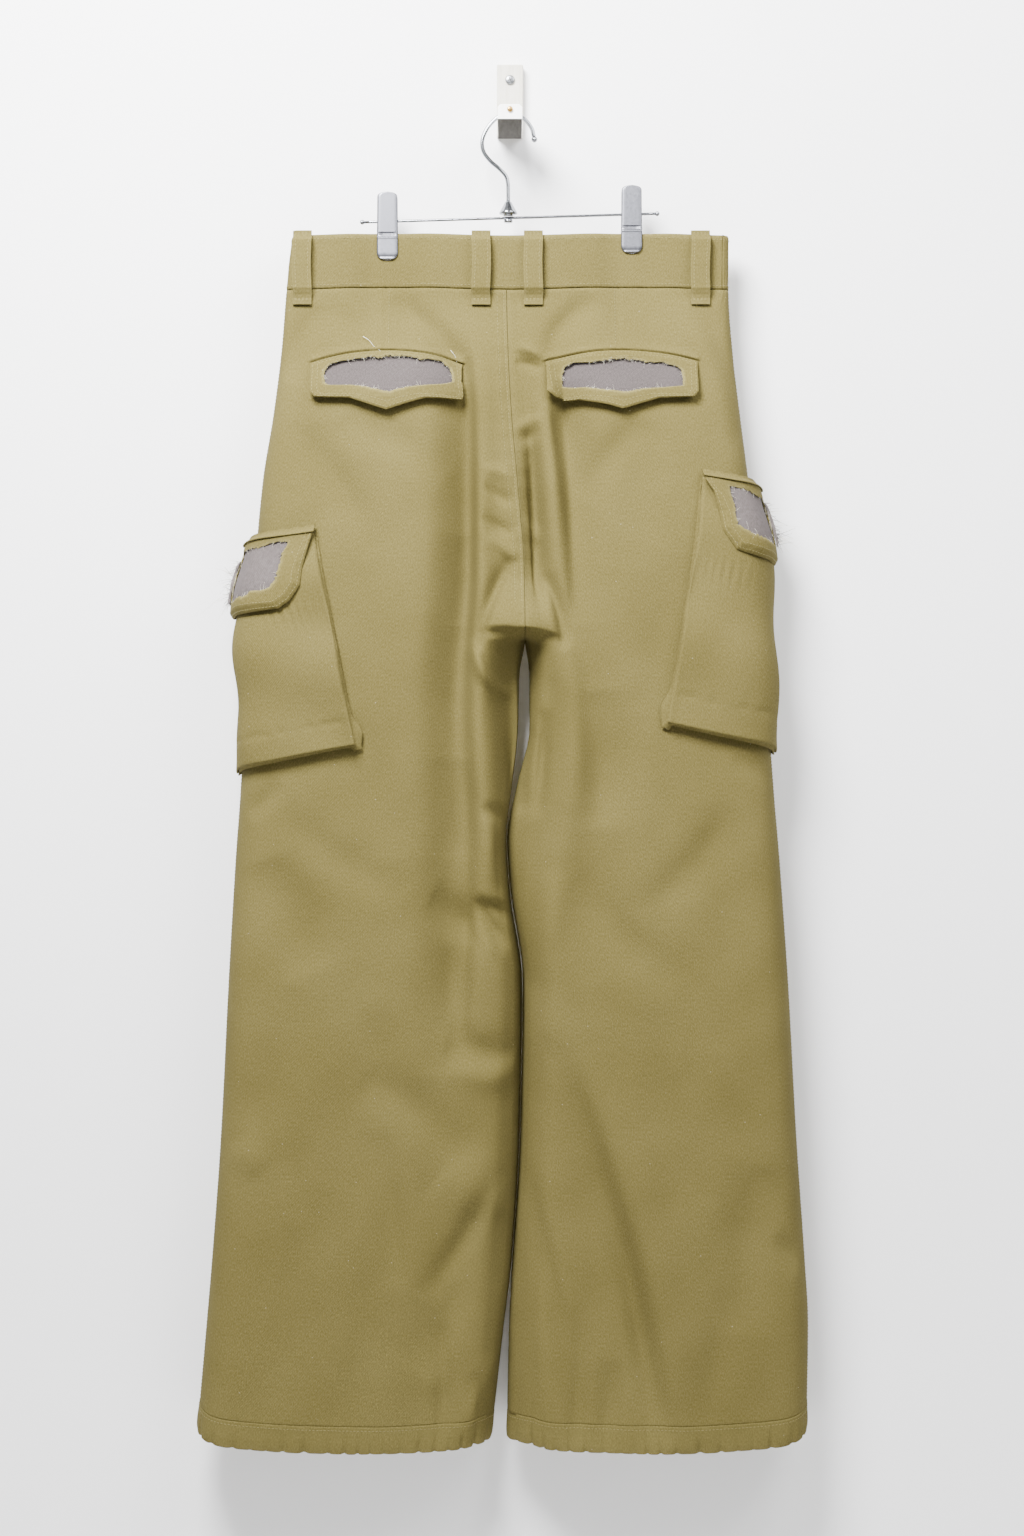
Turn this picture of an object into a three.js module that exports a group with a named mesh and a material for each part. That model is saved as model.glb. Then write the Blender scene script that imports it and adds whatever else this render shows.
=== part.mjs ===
// Cargo trousers hung by the waist from a clip hanger on a wooden wall hook.
// Millimetres, +Z up. The wall is the plane y = 0 and the room is towards -Y, so the garment's back
// faces the room and its fly faces the wall. The origin is the middle of the wall plate's back face.
// "Left" and "right" are the wearer's, which is also how they lie seen from the room.
import * as THREE from 'three';

// Cloth and seams
const CLOTH = 1.8; // a single panel
const BAND_CLOTH = 2.7; // waistband: two layers and a stiffener
const HEM_CLOTH = 2.6; // tunnel hem, turned up
const FLAP_CLOTH = 1.6;
const LINING = 0.9;
const SEAM = 0.17; // half the gap between pieces that are sewn together
const CLEAR = 0.35; // between hard pieces and what they touch
const LAYER = 0.75; // between layers of cloth that lie on each other

// Heights
const WAIST_TOP = -126.5;
const WAIST_SEAM = -175.5;
const CROTCH_ROW = -520; // the row that ends where the four panels meet
const HEM_SEAM = -1176;
const HEM_EDGE = -1198.5;
const HEM_DROP = 18; // how much lower the hem hangs between its sides
const HEM_DROP_FROM = -940;

// Hanger and wall hook
const HANGER_Y = -34; // the hanger hangs in this plane
const CLIP_X = [-110.5, 109.6];
const CLIP_TOP = [-89, -83];
const CLIP_WIDTH = 19;
const CLIP_HEIGHT = 62;
const CLIP_SHEET = 1.6;

// The body and legs seen from the room, for each row: the outer edge, then the main valley of the back, the
// ridge beside it and the hollow beyond that, each with how far out from the wall it lies, and the inner
// edge.
const LEG_COLUMNS = ['z', 'outer', 'valley', 'valleyY', 'ridge', 'ridgeY', 'hollow', 'hollowY', 'inner'];
const LEG_ROWS = {
  left: [
    [-126, -196.5, -62, -44, -40, -44, -20, -44, -3],
    [-176, -201.6, -62, -44, -40, -44, -20, -44, -3],
    [-232, -206, -46, -54, -31, -58, -15, -57, -1.8],
    [-290, -213, -41, -54, -28, -66, -13, -65, 1.2],
    [-350, -222.5, -40, -54, -27, -70, -11, -67, 6.4],
    [-430, -229.5, -40, -57, -27, -76, -9, -71, 12.6],
    [-484, -232.5, -44, -60, -30, -81, -12, -84, 13.4],
    [-520, -235, -47, -63, -31.5, -82, -10, -76, 13.4],
    [-560, -238, -49, -65, -31, -82, -10, -70, 8.4],
    [-600, -240.5, -49, -68, -28, -82, -8, -70, 7.4],
    [-640, -243, -47, -70, -24, -80, -9, -68, 2],
    [-680, -246, -48, -72, -20, -78, -10, -62, -3.4],
    [-720, -248.5, -52, -75, -20, -75, -8, -62, -0.6],
    [-800, -253, -56, -78, -16, -74, 0, -62, 10.8],
    [-940, -260, -60, -78, -20, -74, -4, -62, 8.3],
    [-1050, -268, -68, -77, -28, -74, -12, -62, 1],
    [-1105, -272.7, -74, -76, -34, -73, -18, -62, -6],
    [-1199, -281, -84, -75, -46, -72, -28, -62, -17],
  ],
  right: [
    [-126, 197.5, 50, -44, 30, -44, 12, -44, -3],
    [-176, 197, 50, -44, 30, -44, 12, -44, -3],
    [-232, 200.5, 47, -55, 28, -58, 12, -57, -1.8],
    [-290, 207, 47, -55, 33, -66, 17, -61, 1.2],
    [-350, 214.5, 54, -64, 39, -72, 21, -57, 6.4],
    [-430, 222, 62, -75, 45, -78, 24, -60, 12.6],
    [-484, 226, 66, -79, 49, -82, 31, -81, 13.4],
    [-520, 229, 72, -80, 52, -84, 32, -74, 13.4],
    [-560, 232, 76, -80, 55, -84, 34, -68, 17.4],
    [-600, 235, 78, -79, 55, -84, 32, -66, 17.6],
    [-640, 238, 80, -78, 52, -83, 24, -64, 6.4],
    [-680, 241.5, 80, -78, 46, -82, 18, -62, -2.4],
    [-720, 244.5, 80, -79, 42, -80, 16, -62, 0.4],
    [-800, 250, 80, -80, 42, -79, 24, -64, 11.8],
    [-940, 257.5, 78, -79, 40, -78, 22, -64, 9.3],
    [-1050, 265, 76, -78, 38, -76, 20, -63, 2],
    [-1105, 268, 76, -77, 36, -75, 18, -63, -1],
    [-1199, 266.5, 80, -76, 38, -74, 18, -62, -3],
  ],
};
const legTable = (rows) => rows.map((row) => Object.fromEntries(LEG_COLUMNS.map((key, i) => [key, row[i]])));
const LEGS = { left: legTable(LEG_ROWS.left), right: legTable(LEG_ROWS.right) };

// How far out from the wall the side seam, the back's crest and the front lie, and how far in from the outer
// edge its rounding ends.
const DEPTH = [
  { z: -176, side: -34, back: -44, front: -24, round: 9 },
  { z: -200, side: -34.5, back: -49, front: -21.5, round: 18 },
  { z: -232, side: -35, back: -57, front: -19, round: 34 },
  { z: -290, side: -37, back: -67, front: -17, round: 48 },
  { z: -350, side: -38, back: -73, front: -16, round: 54 },
  { z: -430, side: -39, back: -79, front: -16, round: 56 },
  { z: -520, side: -40, back: -82, front: -16, round: 56 },
  { z: -800, side: -40, back: -84, front: -14, round: 56 },
  { z: -1000, side: -40, back: -82, front: -13, round: 56 },
  { z: -1199, side: -40, back: -78, front: -14, round: 52 },
];

// Where each row of a back panel ends: down the seat seam, under the crotch and down the inseam.
// turn is how far the end of the row has turned from facing the room to facing the other leg.
const BACK_EDGE = [
  { z: -126, y: -44, height: -126, turn: 0 },
  { z: -176, y: -44, height: -176, turn: 0 },
  { z: -232, y: -56, height: -232, turn: 0 },
  { z: -290, y: -63, height: -290, turn: 0 },
  { z: -350, y: -66, height: -350, turn: 0 },
  { z: -430, y: -70, height: -430, turn: 0 },
  { z: -472, y: -82, height: -471, turn: 0 },
  { z: -486, y: -84, height: -483, turn: 0.1 },
  { z: -496, y: -78, height: -488, turn: 0.25 },
  { z: -507, y: -64, height: -491, turn: 0.5 },
  { z: -520, y: -46, height: -493, turn: 0.8 },
  { z: -540, y: -40, height: -507, turn: 1 },
  { z: -560, y: -36, height: -526, turn: 1 },
  { z: -600, y: -33, height: -572, turn: 1 },
  { z: -640, y: -31, height: -623, turn: 1 },
  { z: -680, y: -30, height: -671, turn: 1 },
  { z: -720, y: -30, height: -716, turn: 1 },
  { z: -800, y: -30, height: -800, turn: 1 },
  { z: -1199, y: -32, height: -1199, turn: 1 },
];
// The same for a front panel above the crotch: down the fly and the front rise.
const FRONT_EDGE = [
  { z: -126, y: -24, height: -126, turn: 0 },
  { z: -176, y: -24, height: -176, turn: 0 },
  { z: -232, y: -19, height: -232, turn: 0 },
  { z: -290, y: -17, height: -290, turn: 0 },
  { z: -430, y: -16, height: -430, turn: 0 },
  { z: -478, y: -17, height: -474, turn: 0.1 },
  { z: -496, y: -24, height: -486, turn: 0.3 },
  { z: -508, y: -34, height: -491, turn: 0.5 },
  { z: -520, y: -46, height: -493, turn: 0.8 },
];
const SLOPE_INTO_VALLEY = 34;
const FRONT_CORNER = 30; // width of the rounded inner edge of a leg's front

// Soft folds in the back, each along a line that bows sideways: depth is positive for a trough and negative
// for a ridge, with a width to each side of the line.
const FOLDS = [
  { from: [-106, -184], to: [-40, -262], bow: 8, depth: 5, left: 12, right: 11 },
  { from: [78, -184], to: [30, -240], bow: -6, depth: 4, left: 11, right: 12 },
  { from: [146, -186], to: [204, -310], bow: 8, depth: -3, left: 13, right: 16 },
  { from: [-170, -190], to: [-200, -262], bow: -4, depth: 3, left: 11, right: 12 },
  { from: [78, -540], to: [84, -660], bow: 4, depth: 4, left: 20, right: 24 },
  { from: [26, -846], to: [134, -1196], bow: 6, depth: 8, left: 48, right: 20 },
  { from: [56, -860], to: [160, -1196], bow: 6, depth: -4, left: 18, right: 34 },
  { from: [-70, -720], to: [2, -762], bow: -6, depth: 5, left: 14, right: 16 },
  { from: [-56, -846], to: [6, -862], bow: -10, depth: 5, left: 16, right: 18 },
  { from: [-62, -968], to: [-6, -1004], bow: 6, depth: -4, left: 26, right: 26 },
  { from: [-6, -1000], to: [-84, -1130], bow: 8, depth: 5, left: 24, right: 22 },
  { from: [-216, -690], to: [-176, -790], bow: 6, depth: 4, left: 24, right: 30 },
  { from: [224, -960], to: [206, -1100], bow: -6, depth: 4, left: 24, right: 24 },
];

// Waist: pinched flat at each clip, and sagging between and beside the clips
const PINCH = { near: 6.3, far: 6.3, flat: 11, width: 18, reach: 60 };
const WAIST_SAG = 2.6;
const SAG_SIDE = 85;

// The back pocket flaps: straight sides, a curved top, a point below and a raw-edged window.
const BACK_FLAPS = {
  left: { x: -109.7, half: 67.8, topEnds: -246, topApex: -234.7, side: -275, shoulder: -279, point: -289.6 },
  right: { x: 99.6, half: 68.2, topEnds: -244.5, topApex: -234.7, side: -274, shoulder: -279, point: -289.6 },
};
const BACK_WINDOW = { half: 52, topEnds: -247, topApex: -240.4, side: -262, shoulder: -266, point: -275 };

// Small pieces
const POCKET_CLOTH = 1.6;
const GUSSET_CLOTH = 1.4;
const BAND_STRIP = 1.2;
const TORN_ROLL = 2.4;
const MOUTH_LIFT = 2.9; // the pocket's face at its mouth
const FLAP_ABOVE = 7; // the flap is sewn on above the mouth
const BAND_DOWN = 6.2; // the raised band along the flap's top
const FLAP_RAMP = 5;
const FLAP_CHAMFER = 18;
const RAGGED = [1.5, -1, 0.5, 2, -1.5]; // how far a raw edge strays
const LAP_STOPS = [-6.94, -6.8, -6.6]; // the waistband's lapped end, along the left front
const HEM_PUCKERS = 38;
const FLY = { width: 38, length: 165, cloth: 1.4 };
const BUTTON = { radius: 8.5, thickness: 3, x: -8, z: -151 };
const PLATE = { width: 24, thickness: 10, height: 66, screwRadius: 4.25, screwZ: 18.6 };
const ARM = { width: 22, height: 13.4, chamfer: 2.5, top: -21.8, end: 88, screwRadius: 2.5, screwZ: -26.4 };
const SCREW_HEAD = 2;
const CLIP_OUTLINE = { corner: 6, shoulder: 6 }; // how far a jaw's lower corners and its top arch reach
const CLIP_SLOT = { half: 6.5, down: 38, tall: 3 };
const SPRING = { inner: 1.6, outer: 3.6, half: 6.5 };
const ROD = { left: { x: -131.5, z: -115.6 }, right: { x: 131, z: -107.9 }, radius: 1.25, tip: 2.2 };
const NUT = { radius: 4, height: 2.6 };
const STEM_X = -1.6;
const HOOK_RADIUS = 1.8;
// The hook from its tip over the arm and down to the ferrule, as x and z
const HOOK = [
  [21.6, -38.5], [19.8, -31.5], [15.8, -25.4], [10.8, -20.8], [5, -19], [0, -18.8], [-5, -19],
  [-10.8, -20.8], [-18, -27.5], [-23, -35.5], [-25.2, -44], [-23.6, -52.5], [-17.6, -60.5], [-9.9, -67.2],
  [-4, -73.6], [-2, -80], [-1.7, -88], [STEM_X, -97.1],
];
const HOOK_TIP = { radius: 2.7, x: 22, z: -41.5 };
// The conical ferrule's profile, as radius and how far down, with the collar that meets the rod
const FERRULE = [
  [0, 97.5], [3, 97.5], [4.2, 100], [8.1, 107], [8.1, 108.3], [4.4, 108.3], [4.4, 110.15], [0, 110.15],
];

// The bellows pockets over the side seams. Heights are at the pocket's inner corner, along is measured round
// the leg from the side seam, and the pocket leans as the leg flares.
const CARGO = {
  left: {
    top: -400, bottom: -587, alongTop: 76, alongBottom: 128, width: 200, fallTop: 0.137, fallBottom: 0.206,
    flapDrop: 74,
  },
  right: {
    top: -350, bottom: -568, alongTop: 63, alongBottom: 118, width: 200, fallTop: 0.17, fallBottom: 0.225,
    flapDrop: 76,
  },
};
const CARGO_LIFT = 9; // how far the pocket's face stands off the leg at its edges
const CARGO_BULGE = 4;
const FLAT_LIFT = 3.6; // to the front, where the pocket is pressed flat by the wall
const GUSSET_SPREAD = 5;
const GUSSET_RISE = { foot: LAYER + 1.3, underFace: LAYER + 0.3, lean: 0.24 };
// The gusset's section: how far it spreads from the pocket's edge, and how far it has risen to the face
const GUSSET_PROFILE = [
  { out: 1, rise: 0 },
  { out: 0.75, rise: 0.5 },
  { out: -0.3, rise: 1 },
];
const FLAP_OVER_FACE = 1.4;
const FLAP_PAD = LAYER + 0.75; // how far a cargo flap's lining stands off what it lies on
const TORN_INTO_BAND = 0.45;
// The raw-edged windows of the cargo flaps: along the leg from the side seam, and down from the flap's top
const CARGO_WINDOW = {
  left: { from: 3, to: 57, top: 11, bottom: 62 },
  right: { from: 6, to: 46, top: 11, bottom: 60 },
};

const LOOP = { width: 17, cloth: 1.6, standOff: 6.2, top: 1.2, length: 67 };
const LOOP_PROFILE = [
  { down: 0, lift: 0.8 }, { down: 4, lift: 0.8 }, { down: 8, lift: LOOP.standOff },
  { down: 30, lift: LOOP.standOff + 0.6 }, { down: 54, lift: LOOP.standOff }, { down: 59, lift: 1 },
  { down: LOOP.length, lift: 0.7 },
];
// fit is how much more a loop's ends stand off where the band turns under them
const LOOPS = [
  { name: 'side_left', x: -186.5, side: 'near', fit: 0.35 },
  { name: 'back_left', x: -26, side: 'near', fit: 0 },
  { name: 'back_right', x: 21, side: 'near', fit: 0 },
  { name: 'side_right', x: 171, side: 'near', fit: 0 },
  { name: 'front_left', x: -62, side: 'far', fit: 0 },
  { name: 'front_right', x: 62, side: 'far', fit: 0 },
];

const smooth = (t) => {
  const c = Math.min(1, Math.max(0, t));
  return c * c * (3 - 2 * c);
};
const mix = (a, b, t) => a + (b - a) * t;
const bell = (t) => Math.exp(-t * t);

// A column of a table at height z, by a cubic that passes through the rows and doesn't overshoot them.
function at(table, key, z) {
  const last = table.length - 1;
  if (z >= table[0].z) return table[0][key];
  if (z <= table[last].z) return table[last][key];
  let i = 0;
  while (z < table[i + 1].z) i++;
  const slope = (k) => (table[k + 1][key] - table[k][key]) / (table[k + 1].z - table[k].z);
  const tangent = (k) => {
    if (k === 0) return slope(0);
    if (k === last) return slope(last - 1);
    const a = slope(k - 1);
    const b = slope(k);
    return a * b <= 0 ? 0 : (2 * a * b) / (a + b);
  };
  const span = table[i + 1].z - table[i].z;
  const t = (z - table[i].z) / span;
  const t2 = t * t;
  const t3 = t2 * t;
  return (
    table[i][key] * (2 * t3 - 3 * t2 + 1) +
    tangent(i) * span * (t3 - 2 * t2 + t) +
    table[i + 1][key] * (3 * t2 - 2 * t3) +
    tangent(i + 1) * span * (t3 - t2)
  );
}

// A point at s on the smooth curve through a list of points, where whole numbers are the points themselves.
function along(points, s, before) {
  const last = points.length - 1;
  const i = Math.min(last - 1, Math.max(0, Math.floor(s)));
  const t = s - i;
  const get = (k) => {
    if (k < 0) return before ?? points[0].map((c, a) => 2 * c - points[1][a]);
    if (k > last) return points[last].map((c, a) => 2 * c - points[last - 1][a]);
    return points[k];
  };
  const [p0, p1, p2, p3] = [get(i - 1), get(i), get(i + 1), get(i + 2)];
  return p1.map((c, a) => {
    const m1 = (p2[a] - p0[a]) / 2;
    const m2 = (p3[a] - c) / 2;
    const d = p2[a] - c;
    return c + m1 * t + (3 * d - 2 * m1 - m2) * t * t + (m1 + m2 - 2 * d) * t * t * t;
  });
}

// How strongly the clips pinch the waist at a point, from 0 to 1.
function pinch(x, z) {
  const below = Math.max(0, WAIST_SEAM - z) / PINCH.reach;
  const beside = CLIP_X.map((clip) => bell(Math.max(0, Math.abs(x - clip) - PINCH.flat) / PINCH.width));
  return bell(below) * Math.max(...beside);
}

// How far the waist drops at a point.
function waistSag(x, z) {
  const [a, b] = CLIP_X;
  const between = Math.sin((Math.PI * (x - a)) / (b - a)) ** 2;
  const beside = smooth((x < a ? a - x : x - b) / SAG_SIDE);
  return -WAIST_SAG * (x > a && x < b ? between : beside) * bell(Math.max(0, WAIST_SEAM - z) / PINCH.reach);
}

// The sum of the folds at a point of the back, towards the wall.
function foldDepth(x, z) {
  return FOLDS.reduce((sum, { from, to, bow, depth, left, right }) => {
    const dx = to[0] - from[0];
    const dz = to[1] - from[1];
    const length = Math.hypot(dx, dz);
    const t = ((x - from[0]) * dx + (z - from[1]) * dz) / (length * length);
    if (t <= 0 || t >= 1) return sum;
    const across = ((x - from[0]) * -dz + (z - from[1]) * dx) / length - bow * 4 * t * (1 - t);
    return sum + depth * Math.sin(Math.PI * t) ** 0.8 * bell(across / (across > 0 ? right : left));
  }, 0);
}

// The control points of one row of a back panel and of a front panel, from the side seam inwards.
function rowPoints(side, z) {
  const table = LEGS[side];
  const s = side === 'left' ? 1 : -1;
  const outer = at(table, 'outer', z);
  const inner = at(table, 'inner', z);
  const [seam, back, front, round] = ['side', 'back', 'front', 'round'].map((key) => at(DEPTH, key, z));
  const [edgeY, edgeZ, turn] = ['y', 'height', 'turn'].map((key) => at(BACK_EDGE, key, z));
  const [valley, valleyY, ridge, ridgeY, hollow, hollowY] = [
    'valley', 'valleyY', 'ridge', 'ridgeY', 'hollow', 'hollowY',
  ].map((key) => at(table, key, z));
  const slopeX = valley - s * SLOPE_INTO_VALLEY;
  const plateauX = outer + s * 1.2 * round;
  const lastX = mix(mix(hollow, inner, 0.5), mix(hollow, inner, 0.78), turn);
  const lastY = mix(mix(hollowY, edgeY, 0.5), mix(hollowY, edgeY, 0.55), turn);
  const backPoints = [
    [outer, seam, z],
    [outer + s * 0.12 * round, mix(seam, back, 0.6), z],
    [outer + s * 0.45 * round, mix(seam, back, 0.9), z],
    [plateauX, back, z],
    [mix(plateauX, slopeX, 0.5), back, z],
    [slopeX, back, z],
    [valley, valleyY, z],
    [ridge, ridgeY, z],
    [hollow, hollowY, mix(z, edgeZ, 0.55)],
    [lastX, lastY, mix(z, edgeZ, 0.88)],
    [inner, edgeY, edgeZ],
  ];
  const above = z > CROTCH_ROW;
  const [frontY, frontZ] = above ? ['y', 'height'].map((key) => at(FRONT_EDGE, key, z)) : [edgeY, edgeZ];
  const frontTurn = above ? at(FRONT_EDGE, 'turn', z) : 1;
  const cornerY = mix(mix(front, frontY, 0.7), mix(front, frontY, 0.28), frontTurn);
  const frontPoints = [
    [outer, seam, z],
    [outer + s * 0.12 * round, mix(seam, front, 0.6), z],
    [outer + s * 0.45 * round, mix(seam, front, 0.9), z],
    [plateauX, front, z],
    [mix(plateauX, inner, 0.55), front, z],
    [inner - s * FRONT_CORNER, front, mix(z, frontZ, 0.3)],
    [inner - s * FRONT_CORNER * 0.3, cornerY, mix(z, frontZ, 0.8)],
    [inner, frontY, frontZ],
  ];
  return { backPoints, frontPoints };
}

// A point of the body and legs, s along its row from the side seam: back panels are at s > 0 and front ones
// at s < 0, up to the ends below.
const BACK_END = 10;
const FRONT_END = 7;
function legPoint(side, s, z) {
  const { backPoints, frontPoints } = rowPoints(side, z);
  const onBack = s >= 0;
  const [x, y0, z0] = onBack ? along(backPoints, s, frontPoints[1]) : along(frontPoints, -s, backPoints[1]);
  let y = y0;
  if (onBack) y += foldDepth(x, z0) * smooth(s / 1.5) * smooth((BACK_END - s) / 1.5);
  y += pinch(x, z) * (onBack ? PINCH.near : -PINCH.far) * smooth(Math.abs(s) / 2);
  const span = onBack ? BACK_END : FRONT_END;
  const across = Math.abs(s) / span;
  const drop = HEM_DROP * Math.sin(Math.PI * Math.min(0.78, across)) ** 0.8;
  const hem = smooth((HEM_DROP_FROM - z) / (HEM_DROP_FROM - HEM_EDGE));
  return [x, y, z0 + waistSag(x, z) - drop * hem];
}

// The way into the leg at a point, square to its surface.
function inward(side, s, z) {
  const ds = 0.05;
  const dz = 2;
  const [low, high] = s >= 0 ? [0, BACK_END] : [-FRONT_END, -1e-4];
  const a = new THREE.Vector3(...legPoint(side, Math.max(low, s - ds), z));
  const b = new THREE.Vector3(...legPoint(side, Math.min(high, s + ds), z));
  const c = new THREE.Vector3(...legPoint(side, s, Math.min(WAIST_TOP, z + dz)));
  const d = new THREE.Vector3(...legPoint(side, s, z - dz));
  const normal = b.sub(a).cross(d.sub(c)).normalize();
  return side === 'left' ? normal : normal.negate();
}

// A closed body between two grids of points, a top one and a bottom one. A ring's rows close on themselves,
// and a cell that is skipped leaves a hole.
function shell(top, bottom, { ring = false, skip = () => false } = {}) {
  const [rows, cols] = [top.length, top[0].length];
  const count = rows * cols;
  const id = (r, c) => r * cols + (c % cols);
  const faces = [];
  for (let r = 0; r < rows - 1; r++) {
    for (let c = 0; c < (ring ? cols : cols - 1); c++) {
      if (!skip(r, c)) faces.push([id(r, c), id(r + 1, c), id(r + 1, c + 1), id(r, c + 1)]);
    }
  }
  const index = [];
  const quad = (a, b, c, d) => index.push(a, b, c, a, c, d);
  const edges = new Map();
  for (const face of faces) {
    const [a, b, c, d] = face;
    quad(a, b, c, d);
    quad(count + a, count + d, count + c, count + b);
    face.forEach((from, i) => edges.set(`${from},${face[(i + 1) % 4]}`, [from, face[(i + 1) % 4]]));
  }
  for (const [a, b] of edges.values()) {
    if (!edges.has(`${b},${a}`)) quad(b, a, count + a, count + b);
  }
  return facingOut([...top.flat(), ...bottom.flat()], index);
}

// A geometry of the points that its triangles use, turned so that its faces point out.
function facingOut(points, index) {
  const used = [...new Set(index)];
  const renumbered = new Map(used.map((old, i) => [old, i]));
  const p = (i) => new THREE.Vector3(...points[i]);
  let volume = 0;
  for (let i = 0; i < index.length; i += 3) {
    volume += p(index[i]).dot(p(index[i + 1]).cross(p(index[i + 2])));
  }
  const turned = volume < 0 ? [...index].reverse() : index;
  const geometry = new THREE.BufferGeometry();
  geometry.setAttribute('position', new THREE.Float32BufferAttribute(used.flatMap((i) => points[i]), 3));
  geometry.setIndex(turned.map((i) => renumbered.get(i)));
  geometry.computeVertexNormals();
  return geometry;
}

function steps(from, to, count) {
  return Array.from({ length: count + 1 }, (_, i) => from + ((to - from) * i) / count);
}

// Rows of the panels, closer together where the form changes fast
const PANEL_ROWS = [
  ...steps(WAIST_SEAM - SEAM, -300, 5), ...steps(-330, -450, 4), -470, -485, -496, -508, CROTCH_ROW, -536,
  -556, ...steps(-590, -720, 4), ...steps(-780, -1120, 6), HEM_SEAM + SEAM,
];
const BACK_COLS = [0, 0.5, 1, 1.6, 2.3, 3, 3.6, 4.2, 4.8, 5.3, 5.7, 6, 6.35, 6.7, 7, 7.4, 8, 8.5, 9, 9.5, 10];
const FRONT_COLS = [0, 0.6, 1.3, 2, 3, 4, 5, 5.7, 6.3, 7];

// The edges of a panel stop short of the seam line, and there its inner face lies straight behind its outer
// one, so that two panels never meet inside a seam.
function panel(side, half) {
  const s = side === 'left' ? 1 : -1;
  const out = half === 'back' ? -1 : 1;
  const cols = half === 'back' ? BACK_COLS : FRONT_COLS;
  const end = cols[cols.length - 1];
  const top = [];
  const bottom = [];
  for (const z of PANEL_ROWS) {
    const outerRow = [];
    const innerRow = [];
    for (const c of cols) {
      const u = half === 'back' ? c : -Math.max(c, 1e-6);
      const point = new THREE.Vector3(...legPoint(side, u, z));
      const way = inward(side, u, z);
      if (c === 0) {
        point.y += out * SEAM;
        way.set(s, 0, 0);
      }
      if (c === end && z >= CROTCH_ROW) {
        point.x -= s * SEAM;
        way.setX(0).normalize();
      }
      if (c === end && z <= CROTCH_ROW) {
        point.y += out * SEAM;
        way.setY(0).normalize();
      }
      if (c === end && z === CROTCH_ROW) way.set(-0.6 * s, 0, 0.8);
      outerRow.push(point.toArray());
      innerRow.push(point.clone().addScaledVector(way, CLOTH).toArray());
    }
    top.push(outerRow);
    bottom.push(innerRow);
  }
  return shell(top, bottom);
}

// A finely sampled row, with how far round the leg each sample lies: negative to the front of the side seam.
const sampled = new Map();
function row(side, z) {
  const key = `${side}${z.toFixed(2)}`;
  if (!sampled.has(key)) {
    const samples = steps(-FRONT_END, BACK_END, 170).map((s) => ({ s, point: legPoint(side, s, z), w: 0 }));
    for (let i = 1; i < samples.length; i++) {
      const [a, b] = [samples[i - 1].point, samples[i].point];
      samples[i].w = samples[i - 1].w + Math.hypot(b[0] - a[0], b[1] - a[1], b[2] - a[2]);
    }
    const seam = samples[FRONT_END * 10].w;
    samples.forEach((sample) => (sample.w -= seam));
    sampled.set(key, samples);
  }
  return sampled.get(key);
}

// Where along its row a value between two samples falls, for a key that grows or shrinks steadily.
function place(samples, value, read) {
  const sign = read(samples[samples.length - 1]) > read(samples[0]) ? 1 : -1;
  let i = 0;
  while (i < samples.length - 2 && sign * read(samples[i + 1]) < sign * value) i++;
  const [a, b] = [read(samples[i]), read(samples[i + 1])];
  return mix(samples[i].s, samples[i + 1].s, Math.min(1, Math.max(0, (value - a) / (b - a))));
}
const aroundLeg = (side, w, z) => place(row(side, z), w, (sample) => sample.w);
const onBackAt = (side, x, z) => place(row(side, z).slice(FRONT_END * 10), x, (sample) => sample.point[0]);
function onFrontAt(side, x, z) {
  return place(row(side, z).slice(0, FRONT_END * 10 + 1), x, (sample) => sample.point[0]);
}

// A point that stands off the leg's cloth.
function standOff(side, s, z, lift) {
  return new THREE.Vector3(...legPoint(side, s, z)).addScaledVector(inward(side, s, z), -lift).toArray();
}

// A piece that follows the cloth under it: put(u, v) gives a panel's side, s and z, and how far the piece's
// underside stands off.
function patch(us, vs, cloth, put, options = {}) {
  const grid = (extra) => vs.map((v) => us.map((u) => {
    const { side, s, z, lift } = put(u, v);
    return standOff(side, s, z, lift + extra);
  }));
  return shell(grid(cloth), grid(0), options);
}

// How far a ray from a centre goes to a closed outline.
function reach(outline, [cx, cz], angle) {
  const [dx, dz] = [Math.cos(angle), Math.sin(angle)];
  let best = 0;
  outline.forEach(([ax, az], i) => {
    const [bx, bz] = outline[(i + 1) % outline.length];
    const [ex, ez] = [bx - ax, bz - az];
    const det = ex * dz - ez * dx;
    if (Math.abs(det) < 1e-9) return;
    const t = (ex * (az - cz) - ez * (ax - cx)) / det;
    const u = (dx * (az - cz) - dz * (ax - cx)) / det;
    if (t > 0 && u >= -1e-9 && u <= 1 + 1e-9) best = Math.max(best, t);
  });
  return best;
}

// A piece with a window in it, between two closed outlines drawn round the same centre.
function windowed(outline, window, centre, count, rings, cloth, put) {
  const angles = steps(0, 2 * Math.PI, count).slice(0, count);
  return patch(angles, steps(0, 1, rings), cloth, (angle, v) => {
    const radius = mix(reach(outline, centre, angle), reach(window, centre, angle), v);
    return put(centre[0] + radius * Math.cos(angle), centre[1] + radius * Math.sin(angle));
  }, { ring: true });
}

// A pocket flap's outline about its own middle: a curved top, straight sides and a point below.
function flapOutline({ half, topEnds, topApex, side, shoulder, point }) {
  const top = steps(-1, 1, 8).map((t) => [t * half, mix(topEnds, topApex, 1 - t * t)]);
  return [
    ...top, [half, side], [half - 4, shoulder], [half * 0.5, shoulder - 1], [0, point],
    [-half * 0.5, shoulder - 1], [4 - half, shoulder], [-half, side],
  ];
}

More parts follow.
